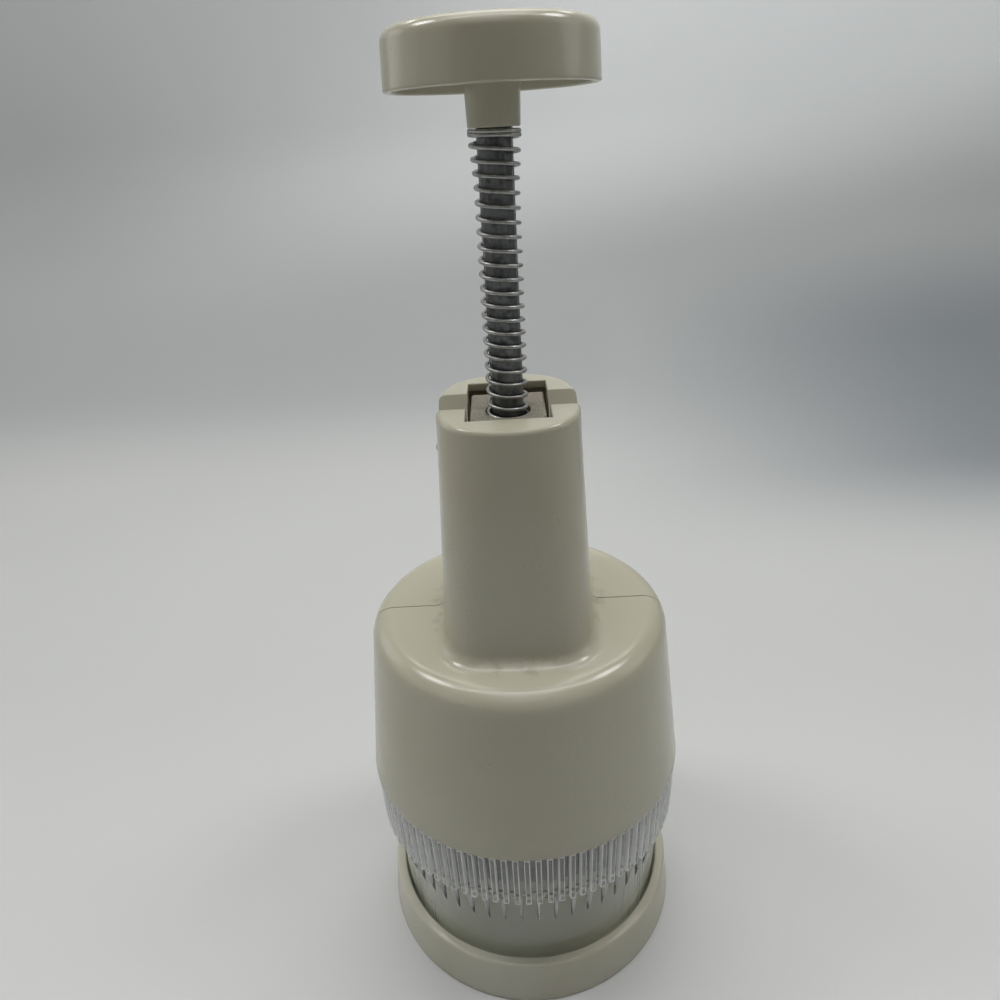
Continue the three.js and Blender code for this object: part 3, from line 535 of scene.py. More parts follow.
# One half of the housing. Columns go round by t, and each station is one section at a height: a circle
# on the skirt, x = a |cos t|^(2/p), y = b |sin t|^(2/q) on the neck, where a, b, p and q change evenly
# with height, and (w cos t / m, d sin t / m) on the opening, where m is the larger of |cos t| and
# |sin t|. Near the parting the depth is squeezed so that the edge follows the V groove:
# y = g + |y| (reach - g) / reach.
def housingHalf(name, side):
    h = named(housingShape)
    columns = h.columns
    t = np.linspace(0, math.pi, columns)
    cosT, sinT = np.cos(t), np.sin(t)
    larger = np.maximum(np.abs(cosT), np.abs(sinT))

    def neck(z, offset=0.0):
        rise = (z - h.shoulder) / (h.neckTop - h.shoulder)
        eased = min(max(rise, 0), 1)
        powerX = 2 / between(h.footPower, h.topPowerX, eased)
        powerY = 2 / between(h.footPower, h.topPowerY, eased)
        halfWidth = between(h.footHalfWidth, h.topHalfWidth, rise) + offset
        halfDepth = between(h.footHalfDepth, h.topHalfDepth, rise) + offset
        return halfWidth * np.sign(cosT) * np.abs(cosT) ** powerX, halfDepth * np.abs(sinT) ** powerY

    def opening(spare):
        halfWidth, halfDepth = h.openHalfWidth + spare, h.openHalfDepth + spare
        return halfWidth * cosT / larger, halfDepth * sinT / larger

    def cavity(z):  # the cheeks that hold the pins stand in from the wall near the top
        x, y = neck(z, -h.wall)
        limit = h.openHalfWidth + h.cheekGap + max(0, h.cheekFoot - z) * h.cheekSlope
        return np.clip(x, -limit, limit), y

    def station(outline, z):
        return np.stack([outline[0], outline[1], z + 0 * t], -1)

    quarter = np.linspace(0, math.pi / 2, 9)
    outer, inner = [], []

    def add(outside, inside):
        outer.append(outside)
        inner.append(inside)

    foot, top, wall, e = h.foot, h.neckTop, h.wall, h.footRound
    boreRadius = h.footRadius - wall
    for a in quarter[::2]:  # the round at the foot
        rounded = ringRow(t, h.footRadius - e + e * math.sin(a), foot + e - e * math.cos(a))
        add(rounded, ringRow(t, boreRadius, foot + a * e / 2))
    for share in np.linspace(0.08, 1, 10):  # the skirt
        z = between(foot, h.side, share)
        bore = ringRow(t, between(boreRadius, h.sideRadius - wall, share), z - share * wall / 2)
        add(ringRow(t, between(h.footRadius, h.sideRadius, share), z), bore)
    middle, reachOut, reachIn = h.sideRadius - h.round, h.round, h.round - wall
    for a in quarter[1:]:  # the round of the shoulder
        rounded = ringRow(t, middle + reachOut * math.cos(a), h.side + reachOut * math.sin(a))
        zIn = h.side - wall / 2 + reachIn * math.sin(a)
        add(rounded, ringRow(t, middle + reachIn * math.cos(a), zIn))
    shoulder, ceiling = h.shoulder, h.shoulder - 1.5 * wall
    rim, neckFoot = ringRow(t, middle, shoulder), station(neck(shoulder, h.fillet), shoulder)
    rimIn, footIn = ringRow(t, middle, ceiling), station(neck(ceiling, -wall), ceiling)
    for share in (0.35, 0.7, 1):  # the flat of the shoulder
        add(between(rim, neckFoot, share), between(rimIn, footIn, share))
    low = shoulder + h.fillet
    for a in quarter[1:]:  # the fillet up to the neck
        z = shoulder + h.fillet * (1 - math.cos(a))
        zIn = between(ceiling, low, (z - shoulder) / h.fillet)
        add(station(neck(z, h.fillet * (1 - math.sin(a))), z), station(neck(z, -wall), zIn))
    lipFoot, roofFoot = top - h.lip, top - h.roof
    heights = [*np.linspace(low, h.grooveFoot, 12)[1:], *np.linspace(h.grooveFoot, lipFoot, 7)[1:]]
    for z in heights:  # the neck, with a row where the groove starts
        zIn = min(z, roofFoot - 0.5)
        add(station(neck(z), z), station(cavity(zIn), zIn))
    over, under = h.openRound, h.roofRound
    for a in quarter[1:]:  # the lip
        rounded = station(neck(lipFoot, -h.lip * (1 - math.cos(a))), lipFoot + h.lip * math.sin(a))
        add(rounded, station(cavity(roofFoot), roofFoot - over * math.cos(a)))
    lipEdge, openEdge = station(neck(lipFoot, -h.lip), top), station(opening(over), top)
    roofEdge, roofOpen = station(cavity(roofFoot), roofFoot), station(opening(under), roofFoot)
    for share in (0.5, 1):  # the top
        add(between(lipEdge, openEdge, share), between(roofEdge, roofOpen, share))
    for a in quarter[2::2]:  # the edge of the opening
        add(station(opening(over - over * math.sin(a)), top - over + over * math.cos(a)),
            station(opening(under - under * math.sin(a)), roofFoot + under - under * math.cos(a)))
    loop = np.stack(outer + inner[::-1])
    slope, reach, depth = h.grooveHalfWidth / (top - h.grooveFoot), h.squeezeReach, loop[..., 1]
    g = h.gap + np.maximum(0, loop[..., 2] - h.grooveFoot) * slope
    loop[..., 1] = side * np.where(depth < reach, g + depth * (reach - g) / reach, depth)
    count = len(outer)
    row = np.arange(count - 1)
    other = 2 * count - 1 - row
    cap = np.stack([row, row + 1, other - 1, other], -1) * columns
    faceSets = [gridFaces(2 * count, columns, wrapRows=True), cap, cap[:, ::-1] + columns - 1]
    if side < 0:
        faceSets = [faceSet[:, ::-1] for faceSet in faceSets]
    shell = meshObject(name, loop, faceSets, h.sharp)
    pinPlace = (0, side * h.pinY, h.grooveFoot)
    hole = bar(h.pinHole, -h.footRadius, h.pinHoleEnd, pinPlace, alongX=True)
    return carve(shell, [hole], h.sharp)


place(housingHalf("frontShellFine", -1), "front_shell", shellIvory)
place(housingHalf("rearShellFine", 1), "rear_shell", shellIvory)


knobShape = {
    "rim": 236.5, "top": 249.6, "rimRadius": 22.7, "sideRadius": 22.2, "round": 2.9, "crown": 2.2,
    "crownRound": 40, "wall": 2.2, "bossFoot": 229.2, "bossFootRadius": 5.7, "bossRootRadius": 6.15,
    "bore": 4.25, "grip": 14.1,
}


# Turned from the roof of the rod's hole, down it, up the boss, out under the skirt and over the crown.
def knob():
    k = named(knobShape)
    side = k.top - k.crown
    ceiling = side - k.wall
    line = roundedLine([
        (0, k.bossFoot + k.grip, 0), (k.bore, k.bossFoot + k.grip, 0.2), (k.bore, k.bossFoot, 0.3),
        (k.bossFootRadius, k.bossFoot, 0.4), (k.bossRootRadius, ceiling, 1.2),
        (k.sideRadius - k.wall, ceiling, 1.4), (k.rimRadius - k.wall + 0.6, k.rim, 0.5),
        (k.rimRadius, k.rim, 0.5), (k.sideRadius, side + 0.3, k.round),
        (k.sideRadius * 0.5, k.top - k.crown * 0.28, k.crownRound), (0, k.top, 0),
    ], steps=9)
    return turnedPiece("knobFine", evenly(line, step=2.5), sides=224)


place(knob(), "knob", ivory)


rodShape = {
    "foot": 93.8, "top": 243.0, "radius": 3.95, "flats": 12, "flangeRadius": 5.6, "flange": 2.5,
    "clipMiddle": 116.45, "groove": 1.6, "grooveDepth": 0.6, "edge": 0.3, "perFlat": 8, "ease": 0.995,
}


# A bar of flats with eased edges: the radius over each flat is apothem / cos(angle from its middle).
def plungerRod():
    s = named(rodShape)
    sides = s.flats * s.perFlat
    angle = np.arange(sides) * fullTurn / sides
    flat = fullTurn / s.flats
    apothem = s.radius * math.cos(flat / 2)
    fromMiddle = angle % flat - flat / 2
    barRadius = np.minimum(apothem / np.cos(fromMiddle), s.radius * s.ease)
    e = s.edge
    low, high = s.clipMiddle - s.groove / 2, s.clipMiddle + s.groove / 2
    waist = s.radius - s.grooveDepth
    flange, flangeTop = s.flangeRadius, s.foot + s.flange
    levels = [
        (s.foot, flange - e), (s.foot + e, flange), (flangeTop - e, flange), (flangeTop, flange - e),
        (flangeTop, barRadius), (low, barRadius), (low, waist), (high, waist), (high, barRadius),
        *((z, barRadius) for z in np.linspace(high + 4, s.top - e, 24)), (s.top, barRadius - e),
    ]
    rows = [ringRow(angle, r, z) for z, r in levels]
    points = np.concatenate([*rows, [[0, 0, s.foot], [0, 0, s.top]]])
    return meshObject("rodFine", points, tubeFaces(len(rows), sides), sharpAbove=12)


place(plungerRod(), "plunger_rod", rodSteel)


springShape = {"low": 164.1, "high": 228.9, "wire": 0.47, "stroke": 40.0, "steps": 32, "sides": 12}
springTurns = (-1.05, 0.0, 0.5, 1.0, 3.5, 20.5, 21.6)  # counted down from the first full turn at the left
springHeights = (228.7, 228.05, 227.55, 225.95, 219.1, 166.9, 164.55)
springWidening = ((0.75, 1.5, 2.5, 3.5, 20.5, 21.2), (5.38, 5.13, 4.97, 4.68, 4.68, 5.02))


# A wire on a left-handed helix: r and z are read from the turn, so that the ends are closed and wider.
def returnSpring():
    s = named(springShape)
    turn = np.arange(springTurns[-1], springTurns[0], -1 / s.steps)
    z = np.interp(turn, springTurns, springHeights)
    r = np.interp(turn, *springWidening)
    angle = math.pi + turn * fullTurn
    path = ringRow(angle, r, z)
    along = np.gradient(path, axis=0)
    along /= np.linalg.norm(along, axis=1)[:, None]
    outward = np.stack([np.cos(angle), np.sin(angle), 0 * angle], -1)
    outward -= along * (outward * along).sum(1)[:, None]
    outward /= np.linalg.norm(outward, axis=1)[:, None]
    across = np.cross(along, outward)
    a = np.arange(s.sides) * fullTurn / s.sides
    ring = outward[:, None] * np.cos(a)[None, :, None] + across[:, None] * np.sin(a)[None, :, None]
    grid = path[:, None] + s.wire * ring
    points = np.concatenate([grid.reshape(-1, 3), path[:1], path[-1:]])
    return meshObject("springFine", points, tubeFaces(len(grid), s.sides))


spring = place(returnSpring(), "return_spring", wireSteel)
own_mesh(spring)


blockShape = {
    "foot": 112.95, "top": 166.8, "halfWidth": 9.4, "halfDepth": 10.4, "corner": 0.9, "edge": 0.5,
    "footHalfWidth": 14.5, "footHalfDepth": 10.0, "footHeight": 8.6, "crease": 0.25, "creaseFrom": 0.2,
    "creaseWidth": 0.8, "pocket": 5.6, "pocketFloor": 163.8, "pocketEdge": 0.2, "frontDrop": 0.8,
    "rise": 1.3, "riseFrom": -2.0, "bore": 4.25, "cavity": 6.6, "cavityRoof": 119.85,
    "pinHole": 1.3, "pinY": 6.0, "pinZ": 159.4, "screwHole": 1.4, "screwX": 12.1,
    "screwHoleTop": 118.25, "perCorner": 6, "perSide": 13,
}


# Columns round a box with rounded corners: signs of the corner's middle, and the direction out from it.
def boxColumns(perCorner, perSide):
    quarter = np.arange(4)[:, None] * math.pi / 2
    arc = quarter + np.linspace(0, math.pi / 2, perCorner)
    along = np.linspace(0, 1, perSide + 2)[1:-1]
    signX, signY = np.array([[1], [-1], [-1], [1]]), np.array([[1], [1], [-1], [-1]])
    coreX = np.concatenate([signX + 0 * arc, signX + (np.roll(signX, -1) - signX) * along], 1).ravel()
    coreY = np.concatenate([signY + 0 * arc, signY + (np.roll(signY, -1) - signY) * along], 1).ravel()
    turn = np.concatenate([arc, quarter + math.pi / 2 + 0 * along], 1).ravel()
    return coreX, coreY, np.cos(turn), np.sin(turn)


# Point = corner's middle + corner radius x direction on the box sections, and r (cos a, sin a) on the
# round ones, where a is the box point's own angle. The top rises towards the rear, with a dip behind
# its crease.
def guideBlock():
    b = named(blockShape)
    coreX, coreY, outX, outY = boxColumns(b.perCorner, b.perSide)

    def box(z, halfWidth, halfDepth, inset=0.0):
        c = b.corner
        x = coreX * (halfWidth - c) + outX * (c - inset)
        y = coreY * (halfDepth - c) + outY * (c - inset)
        return np.stack([x, y, z + 0 * x], -1)

    column = box(0, b.halfWidth, b.halfDepth)
    angle = np.arctan2(column[:, 1], column[:, 0])

    def circle(z, r):
        return ringRow(angle, r, z)

    e, foot, top = b.edge, b.foot, b.top
    footTop, mouth = foot + b.footHeight, b.pocket + b.pocketEdge
    wide, slim = (b.footHalfWidth, b.footHalfDepth), (b.halfWidth, b.halfDepth)
    rows = [
        circle(foot, b.cavity), box(foot, *wide, e), box(foot + e, *wide),
        box(footTop - e, *wide), box(footTop, *wide, e), box(footTop, *slim),
        *(box(z, *slim) for z in np.linspace(footTop + 4, top - e, 9)),
        box(top - e * 0.3, *slim, e * 0.3), box(top, *slim, e),
        (box(top, *slim, e) + circle(top, mouth)) / 2, circle(top, mouth),
        circle(top - b.pocketEdge, b.pocket), circle(b.pocketFloor, b.pocket),
        circle(b.pocketFloor, b.bore), circle(b.cavityRoof, b.bore),
        circle(b.cavityRoof, b.cavity),
    ]
    loop = np.stack(rows)
    upper = loop[..., 2] > top - 1
    back = np.clip((loop[..., 1] - b.riseFrom) / (b.halfDepth - b.riseFrom), 0, 1)
    dip = np.clip((loop[..., 1] - b.creaseFrom) / b.creaseWidth, 0, 1) * b.crease
    loop[..., 2] -= np.where(upper, dip + b.frontDrop - back * b.rise, 0)
    block = ringPiece("guideBlockFine", loop)
    reach = b.halfWidth + 1
    holes = barPair(b.pinHole, -reach, reach, 0, b.pinY, b.pinZ, alongX=True)
    holes += barPair(b.screwHole, b.foot - 1, b.screwHoleTop, b.screwX, 0)
    return carve(block, holes, sharpAbove=30)


place(guideBlock(), "guide_block", frosted)


pinShape = {"left": -18.15, "right": 16.3, "radius": 1.0, "dome": 0.45, "y": 6.0, "z": 159.4}


# A bar along X, domed at its left end and chamfered at its hidden right end.
def hingePin(name, y):
    p = named(pinShape)
    line = roundedLine([
        (0, p.left, 0), (p.radius * 0.62, p.left + p.dome * 0.2, 0.6),
        (p.radius, p.left + p.dome, 0.3), (p.radius, p.right, 0.2), (0, p.right, 0),
    ])
    return turnedPiece(name, evenly(line, step=3), sides=40, centre=(0, y, p.z), alongX=True)


place(hingePin("frontPinFine", -pinShape["y"]), "front_hinge_pin", pinSteel)
place(hingePin("rearPinFine", pinShape["y"]), "rear_hinge_pin", pinSteel)


clipShape = {"bore": 3.65, "outer": 5.9, "low": 115.95, "high": 116.95, "edge": 0.15}
bumperShape = {"bore": 4.25, "outer": 6.3, "low": 117.25, "high": 119.55, "edge": 0.45}


# A ring with rounded edges, turned from a closed rectangle of (r, z).
def roundedRing(name, bore, outer, low, high, edge):
    corners = [(outer, low, edge), (outer, high, edge), (bore, high, edge), (bore, low, edge)]
    return turnedPiece(name, roundedLine(corners, closed=True, steps=5), sides=96, closed=True)


place(roundedRing("stopClipFine", **clipShape), "stop_clip", pinSteel)
place(roundedRing("stopBumperFine", **bumperShape), "stop_bumper", blackRubber)


ratchetShape = {
    "teeth": 12, "height": 3.4, "outer": 9.8, "inner": 6.6, "steep": 0.05, "lag": 2.1,
    "crownFoot": 99.0, "crownTop": 102.0, "crownRadius": 13.0, "crownBore": 4.25, "crownScrewY": 11.4,
    "ringRoot": 106.05, "flangeFoot": 109.65, "flangeTop": 112.65, "flangeHalfWidth": 14.5,
    "flangeHalfDepth": 10.0, "screwX": 12.1, "screwHole": 1.4, "crownScrewHole": 1.1, "sunk": 0.05,
    "edge": 0.25,
}


# Share of a tooth's height by angle: it falls evenly from 1 to 0 over the pitch, then rises over the
# steep part.
def toothShare(angle, lag=0.0):
    r = named(ratchetShape)
    turn = (angle - math.radians(lag)) * r.teeth / fullTurn % 1
    return np.interp(turn, (0, 1 - r.steep, 1), (1, 0, 1))


# Angles with a column at each tooth's corners, even ones between, and any others asked for.
def toothAngles(lag=0.0, others=()):
    r = named(ratchetShape)
    shares = np.append(np.linspace(0, 1 - r.steep, 10), 1 - r.steep / 2)
    angle = (np.arange(r.teeth)[:, None] + shares) * fullTurn / r.teeth + math.radians(lag)
    return np.unique(np.round(np.concatenate([angle.ravel(), others]) % fullTurn, 5))


# Standing saw teeth on a disc: height = disc's top + tooth share x tooth height between the two radii.
def ratchetCrown():
    r = named(ratchetShape)
    angle = toothAngles()
    low, high, radius, e = r.crownFoot, r.crownTop, r.crownRadius, r.edge
    tip = high + r.sunk + toothShare(angle) * r.height
    levels = [
        (r.crownBore, low), (radius - e, low), (radius, low + e), (radius, high - e),
        (radius - e, high), (r.outer, high), (r.outer, tip), (r.inner, tip),
        (r.inner, high), (r.crownBore, high),
    ]
    crown = ringPiece("ratchetCrownFine", [ringRow(angle, *level) for level in levels])
    holes = barPair(r.crownScrewHole, low - 1, high + 1, 0, r.crownScrewY)
    return carve(crown, holes, sharpAbove=30)


# Hanging saw teeth under a collar and a box flange, whose radius by angle is the nearer of its two sides.
def indexRing():
    r = named(ratchetShape)
    corner = math.atan2(r.flangeHalfDepth, r.flangeHalfWidth)
    corners = [corner, math.pi - corner, math.pi + corner, -corner]
    angle = toothAngles(r.lag - 360 / r.teeth * r.steep, corners)
    flange = np.minimum(r.flangeHalfWidth / np.maximum(np.abs(np.cos(angle)), 1e-6),
                        r.flangeHalfDepth / np.maximum(np.abs(np.sin(angle)), 1e-6))
    tip = r.ringRoot - r.sunk - (1 - toothShare(angle, r.lag)) * r.height
    e = r.edge
    levels = [
        (r.inner, tip), (r.outer, tip), (r.outer, r.ringRoot), (r.outer, r.flangeFoot),
        (flange - e, r.flangeFoot), (flange, r.flangeFoot + e), (flange, r.flangeTop - e),
        (flange - e, r.flangeTop), (r.inner, r.flangeTop), (r.inner, r.ringRoot),
    ]
    ring = ringPiece("indexRingFine", [ringRow(angle, *level) for level in levels])
    holes = barPair(r.screwHole, r.flangeFoot - 1, r.flangeTop + 1, r.screwX, 0)
    return carve(ring, holes, sharpAbove=30)


place(ratchetCrown(), "ratchet_crown", innerIvory)
place(indexRing(), "index_ring", innerIvory)


# A blade, or its cutter, along a line in plan: section points (offset across, height) are carried along
# it, each offset square to the line's direction there.
def stripPiece(name, line, section, sharpAbove=32):
    along = np.gradient(line, axis=0)
    along /= np.linalg.norm(along, axis=1)[:, None]
    square = np.stack([-along[:, 1], along[:, 0]], -1)
    across, height = np.array(section, float).T
    plan = line[:, None] + square[:, None] * across[None, :, None]
    grid = np.concatenate([plan, np.broadcast_to(height[None, :, None], (*plan.shape[:2], 1))], -1)
    points = np.concatenate([grid.reshape(-1, 3), [grid[0].mean(0), grid[-1].mean(0)]])
    return meshObject(name, points, tubeFaces(*grid.shape[:2]), sharpAbove)


screwShape = {"headEdge": 0.25, "slot": 0.55}
indexScrew = {
    "headRadius": 2.0, "headFoot": 109.35, "headHeight": 1.5, "shankRadius": 1.1, "shankEnd": 117.95,
    "up": -1,
}
crownScrew = {
    "headRadius": 1.3, "headFoot": 102.3, "headHeight": 0.9, "shankRadius": 0.8, "shankEnd": 94.7,
    "up": 1,
}


# A head and shank turned about Z, with a slot cut across the head. Up is 1 where the head faces up,
# else -1.
def slottedScrew(name, centre, headRadius, headFoot, headHeight, shankRadius, shankEnd, up):
    headTop = headFoot + up * headHeight
    corners = [
        (0, headTop, 0), (headRadius, headTop, screwShape["headEdge"]), (headRadius, headFoot, 0.05),
        (shankRadius, headFoot, 0.05), (shankRadius, shankEnd, 0.2), (0, shankEnd, 0),
    ]
    line = roundedLine(corners if up < 0 else corners[::-1], steps=5)
    screw = turnedPiece(name, evenly(line, step=2), sides=48, centre=(*centre, 0))
    half, deep = screwShape["slot"] / 2, headTop - up * headHeight / 2
    low, high = sorted((deep, headTop + up))
    path = np.stack([np.linspace(-headRadius - 1, headRadius + 1, 3), np.zeros(3)], -1) + centre
    slot = stripPiece("cutter", path, [(half, low), (half, high), (-half, high), (-half, low)])
    return carve(screw, [slot])


screwX, screwY = ratchetShape["screwX"], ratchetShape["crownScrewY"]
place(slottedScrew("indexScrewLeftFine", (-screwX, 0), **indexScrew), "index_screw_left", pinSteel)
place(slottedScrew("indexScrewRightFine", (screwX, 0), **indexScrew), "index_screw_right", pinSteel)
place(slottedScrew("crownScrewOneFine", (0, -screwY), **crownScrew), "crown_screw_1", pinSteel)
place(slottedScrew("crownScrewTwoFine", (0, screwY), **crownScrew), "crown_screw_2", pinSteel)


bladeShape = {
    "halfSpan": 34.0, "depth": 12.5, "folds": 6, "fold": 0.8, "thickness": 0.8, "edge": 0.16, "bevel": 2.2,
    "edgeHeight": 43.8, "top": 89.9, "slotHalf": 0.7, "slotSpare": 0.3,
}


# The blade's zigzag in plan, with each fold an arc; the ends stop at half the depth.
def bladeLine(spare=0.0):
    b = named(bladeShape)
    k = np.arange(b.folds + 1)
    x = (b.halfSpan + spare) * (2 * k / b.folds - 1)
    y = np.where(k % 2, 1, -1) * np.where((k == 0) | (k == b.folds), b.depth / 2, b.depth)
    return evenly(roundedLine([(*p, b.fold) for p in zip(x, y)], steps=9), 1.5)


# Plain sides down to the bevel, then a straight taper to the cutting edge.
def zigzagBlade():
    b = named(bladeShape)
    half, thin = b.thickness / 2, b.edge / 2
    low, shoulder = b.edgeHeight, b.edgeHeight + b.bevel
    right = [(half, z) for z in np.linspace(shoulder, b.top, 10)]
    left = [(-half, z) for z in np.linspace(b.top, shoulder, 10)]
    section = [*left, (-thin, low), (thin, low), *right]
    return stripPiece("zigzagBladeFine", bladeLine(), section, sharpAbove=24)


# The blade's slot as a cutter between two heights.
def bladeSlot(low, high):
    b = named(bladeShape)
    half = b.slotHalf
    section = [(-half, high), (-half, low), (half, low), (half, high)]
    return stripPiece("cutter", bladeLine(b.slotSpare), section)


carrierShape = {
    "foot": 86.9, "radius": 36.5, "hubFoot": 90.9, "hubTop": 98.7, "hubRadius": 13.0, "seat": 5.9,
    "seatFloor": 93.5, "edge": 0.5, "slotTop": 90.2, "screwHole": 1.1, "screwY": 11.4,
    "screwHoleFoot": 94.4,
}


# A disc and hub turned in one, with the rod's seat sunk in the hub and the blade's slot under the disc.
def bladeCarrier():
    c = named(carrierShape)
    line = roundedLine([
        (0, c.foot, 0), (c.radius, c.foot, c.edge), (c.radius, c.hubFoot, c.edge),
        (c.hubRadius, c.hubFoot, 1.0), (c.hubRadius, c.hubTop, c.edge),
        (c.seat, c.hubTop, 0.2), (c.seat, c.seatFloor, 0.2), (0, c.seatFloor, 0),
    ])
    carrier = turnedPiece("bladeCarrierFine", evenly(line, step=3), sides=160)
    holes = barPair(c.screwHole, c.screwHoleFoot, c.hubTop + 1, 0, c.screwY)
    return carve(carrier, [bladeSlot(c.foot - 1, c.slotTop), *holes])


scraperShape = {"foot": 43.3, "top": 45.9, "rim": 1.4, "rimWidth": 2.4, "radius": 41.1, "edge": 0.35}


# A plate with a raised rim, turned, then cut by the blade's slot.
def scraperDisc():
    s = named(scraperShape)
    rimTop, inner = s.top + s.rim, s.radius - s.rimWidth
    line = roundedLine([
        (0, s.foot, 0), (s.radius, s.foot, s.edge), (s.radius, rimTop, s.edge),
        (inner, rimTop, s.edge), (inner, s.top, 0.5), (0, s.top, 0),
    ])
    plate = turnedPiece("scraperFine", evenly(line, step=3), sides=192)
    return carve(plate, [bladeSlot(s.foot - 1, s.top + 1)])


place(zigzagBlade(), "zigzag_blade", bladeSteel)
place(bladeCarrier(), "blade_carrier", innerIvory)
place(scraperDisc(), "scraper_disc", innerIvory)


studio = {
    "floorFront": -1.6, "bendStart": 0.30, "bend": 0.24, "wallTop": 1.6, "halfWidth": 2.2,
    "floorShade": (0.548, 0.553, 0.543), "frontShade": (0.70, 0.705, 0.695),
    # litShade is the painted light on the wall, dimShade its painted shade
    "wallShade": (0.462, 0.472, 0.467), "litShade": (0.85, 0.87, 0.87), "dimShade": (0.255, 0.275, 0.29),
    "roughness": 0.85, "specular": 0.15, "roomShade": (0.97, 0.99, 1.0), "roomLight": 0.012,
    "seenStrength": 0.5, "glossShare": 0.35, "fadeFrom": 0.75, "fadeTo": 1.3, "slant": 0.1,
    "lampTarget": (0, 0, 0.12),
}
paperEdges = {  # where each soft edge of the paper's tone starts and ends, in metres
    "front": (-0.14, 0.12), "wall": (0.33, 0.44), "paleUp": (0.105, 0.225), "paleAcross": (-0.42, 0.12),
    "fadeUp": (0.2, 0.36), "fadeAcross": (-0.15, 0.12), "dimAcross": (0.01, 0.4), "dimDeep": (0.17, 0.33),
    "dimUp": (0.05, 0.15), "lowDeep": (0.38, 0.44), "lowUp": (0.05, 0.13), "lowAcross": (0.05, 0.2),
}
lamps = {  # place, size across and along, and power; each faces the target
    "topLight": ((0, 0, 0.95), (0.7, 0.7), 1.9),
    "stripLight": ((0, -0.05, 0.97), (1.3, 0.08), 1.5),
    "topFrontLight": ((0, -0.45, 0.9), (0.6, 0.6), 0.70),
    "topBackLight": ((0, 0.5, 0.9), (0.6, 0.6), 2.60),
    "topLeftLight": ((-0.5, 0.1, 0.85), (0.24, 0.24), 1.6),
    "topRightLight": ((0.5, 0.1, 0.85), (0.24, 0.24), 1.5),
    "leftLight": ((-0.9, 0, 0.35), (0.5, 0.5), 0.24),
    "leftFrontLight": ((-0.7, -0.5, 0.45), (0.5, 0.5), 0.20),
    "leftBackLight": ((-0.75, 0.4, 0.45), (0.5, 0.5), 0.63),
    "rightLight": ((0.9, 0, 0.5), (0.5, 0.5), 0.55),
    "backLeftKicker": ((-0.3, 0.42, 0.7), (0.16, 0.05), 0.16),
    "backRightKicker": ((0.3, 0.42, 0.7), (0.16, 0.05), 0.16),
}


# One sheet: flat floor, a quarter circle, then a flat wall, the same across its width. Its paper darkens up
# the bend, is paler over a slanting soft edge on the wall as painted light, and is dimmer low on the wall,
# strongly at the right and a little at the left and middle, as painted shade. Far from the object it fades
# into the room.
def backdrop():
    s = named(studio)
    a = np.linspace(0, math.pi / 2, 24)
    bendY = s.bendStart + s.bend * np.sin(a)
    y = np.concatenate([[s.floorFront], bendY, bendY[-1:]])
    z = np.concatenate([[0], s.bend * (1 - np.cos(a)), [s.wallTop]])
    x = np.linspace(-s.halfWidth, s.halfWidth, 3)
    grid = np.stack(np.broadcast_arrays(x[None, :], y[:, None], z[:, None]), -1) / mm
    sheet = meshObject("backdropSheet", grid, [gridFaces(len(y), len(x))], sharpAbove=80)
    f, e = Finish("backdropPaper"), named(paperEdges)
    across, deep, height = f.axis("X"), f.axis("Y"), f.axis("Z")
    shade = f.blend(1 - deep.over(*e.front), s.floorShade, s.frontShade)
    shade = f.blend(deep.over(*e.wall), shade, s.wallShade)
    # painted light: paler over a slanting soft edge on the wall, where light falls on it
    pale = (height - across * s.slant).over(*e.paleUp) * across.over(*e.paleAcross)
    fade = 1 - height.over(*e.fadeUp) * (1 - across.over(*e.fadeAcross)) * 0.5
    shade = f.blend(pale * fade, shade, s.litShade)
    # painted shade: dimmer low on the wall, strongly at the right and a little at the left and middle
    dim = across.over(*e.dimAcross) * deep.over(*e.dimDeep) * (1 - height.over(*e.dimUp))
    low = deep.over(*e.lowDeep) * (1 - height.over(*e.lowUp)) * (1 - across.over(*e.lowAcross))
    shade = f.blend(dim.math("MAXIMUM", low * 0.2), shade, s.dimShade)
    shade = f.blend(f.noise(3, 2).over(0.3, 0.75) * 0.05, shade, s.dimShade)
    values = {"Roughness": s.roughness, "Specular IOR Level": s.specular}
    paper = f.principled({"Base Color": shade, **values})
    values = {"Color": (*s.roomShade, 1), "Strength": s.seenStrength}
    room = f.node("ShaderNodeEmission", {}, values)
    far = f.radius().over(s.fadeFrom, s.fadeTo) * f.seen(s.glossShare)
    sheet.data.materials.append(f.surface(f.mixed(far, paper, room)))


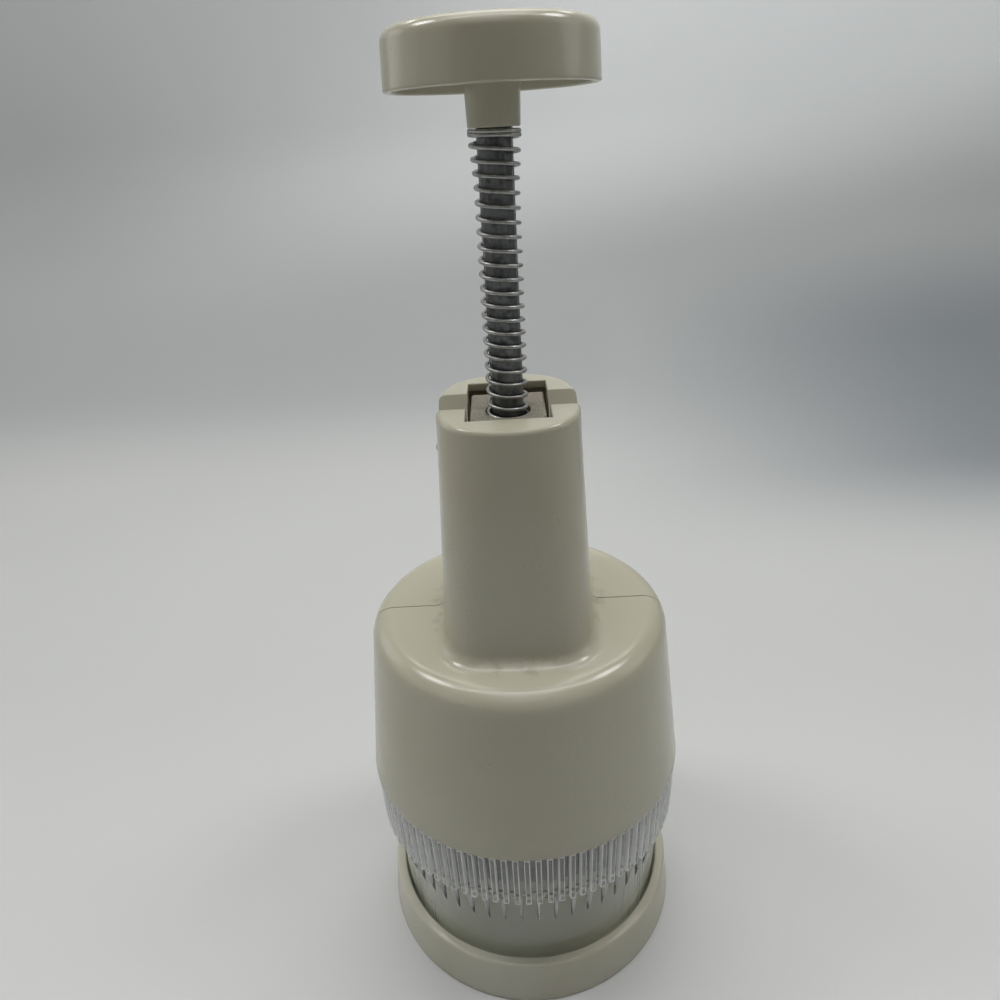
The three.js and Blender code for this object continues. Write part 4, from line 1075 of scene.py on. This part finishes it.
# The room beyond the sheet: pale where the camera, a reflection or clear plastic looks, and hardly a
# light itself.
def softRoom():
    s = named(studio)
    bpy.context.scene.world = bpy.data.worlds.new("softRoom")
    f = Finish("softRoom", bpy.context.scene.world)
    strength = f.seen(s.glossShare) * (s.seenStrength - s.roomLight) + s.roomLight
    room = f.node("ShaderNodeBackground", {}, {"Color": (*s.roomShade, 1), "Strength": strength})
    f.node("ShaderNodeOutputWorld", {}, {"Surface": room})


def areaLight(name, place, size, power):
    lamp = bpy.data.lights.new(name, "AREA")
    lamp.shape, lamp.size, lamp.size_y, lamp.energy = "ELLIPSE", *size, power
    holder = bpy.data.objects.new(name, lamp)
    holder.location = place
    toTarget = Vector(studio["lampTarget"]) - Vector(place)
    holder.rotation_euler = toTarget.to_track_quat("-Z", "Y").to_euler()
    bpy.context.scene.collection.objects.link(holder)


backdrop()
softRoom()
for name, lamp in lamps.items():
    areaLight(name, *lamp)
print("studio made")


cameraPlace = {  # metres, degrees and millimetres
    "position": (0.0, -0.17785, 0.22864), "down": 26.21, "roll": -3.34, "yaw": -1.07, "lens": 27.02,
}


# Forward and level from the yaw and the angle down, then both turned about forward by the roll.
def photoCamera():
    c = named(cameraPlace)
    down, roll, yaw = map(math.radians, (c.down, c.roll, c.yaw))
    forward = Vector((math.sin(yaw) * math.cos(down), math.cos(yaw) * math.cos(down), -math.sin(down)))
    level = Vector((math.cos(yaw), -math.sin(yaw), 0))
    upright = level.cross(forward)
    right = level * math.cos(roll) + upright * math.sin(roll)
    up = upright * math.cos(roll) - level * math.sin(roll)
    lens = bpy.data.cameras.new("photoCamera")
    lens.lens, lens.sensor_width, lens.clip_start = c.lens, 36, 0.01
    camera = bpy.data.objects.new("photoCamera", lens)
    camera.matrix_world = Matrix((right, up, -forward)).transposed().to_4x4()
    camera.location = c.position
    bpy.context.scene.collection.objects.link(camera)
    bpy.context.scene.camera = camera


photoCamera()
bpy.context.scene.view_settings.view_transform = "Standard"
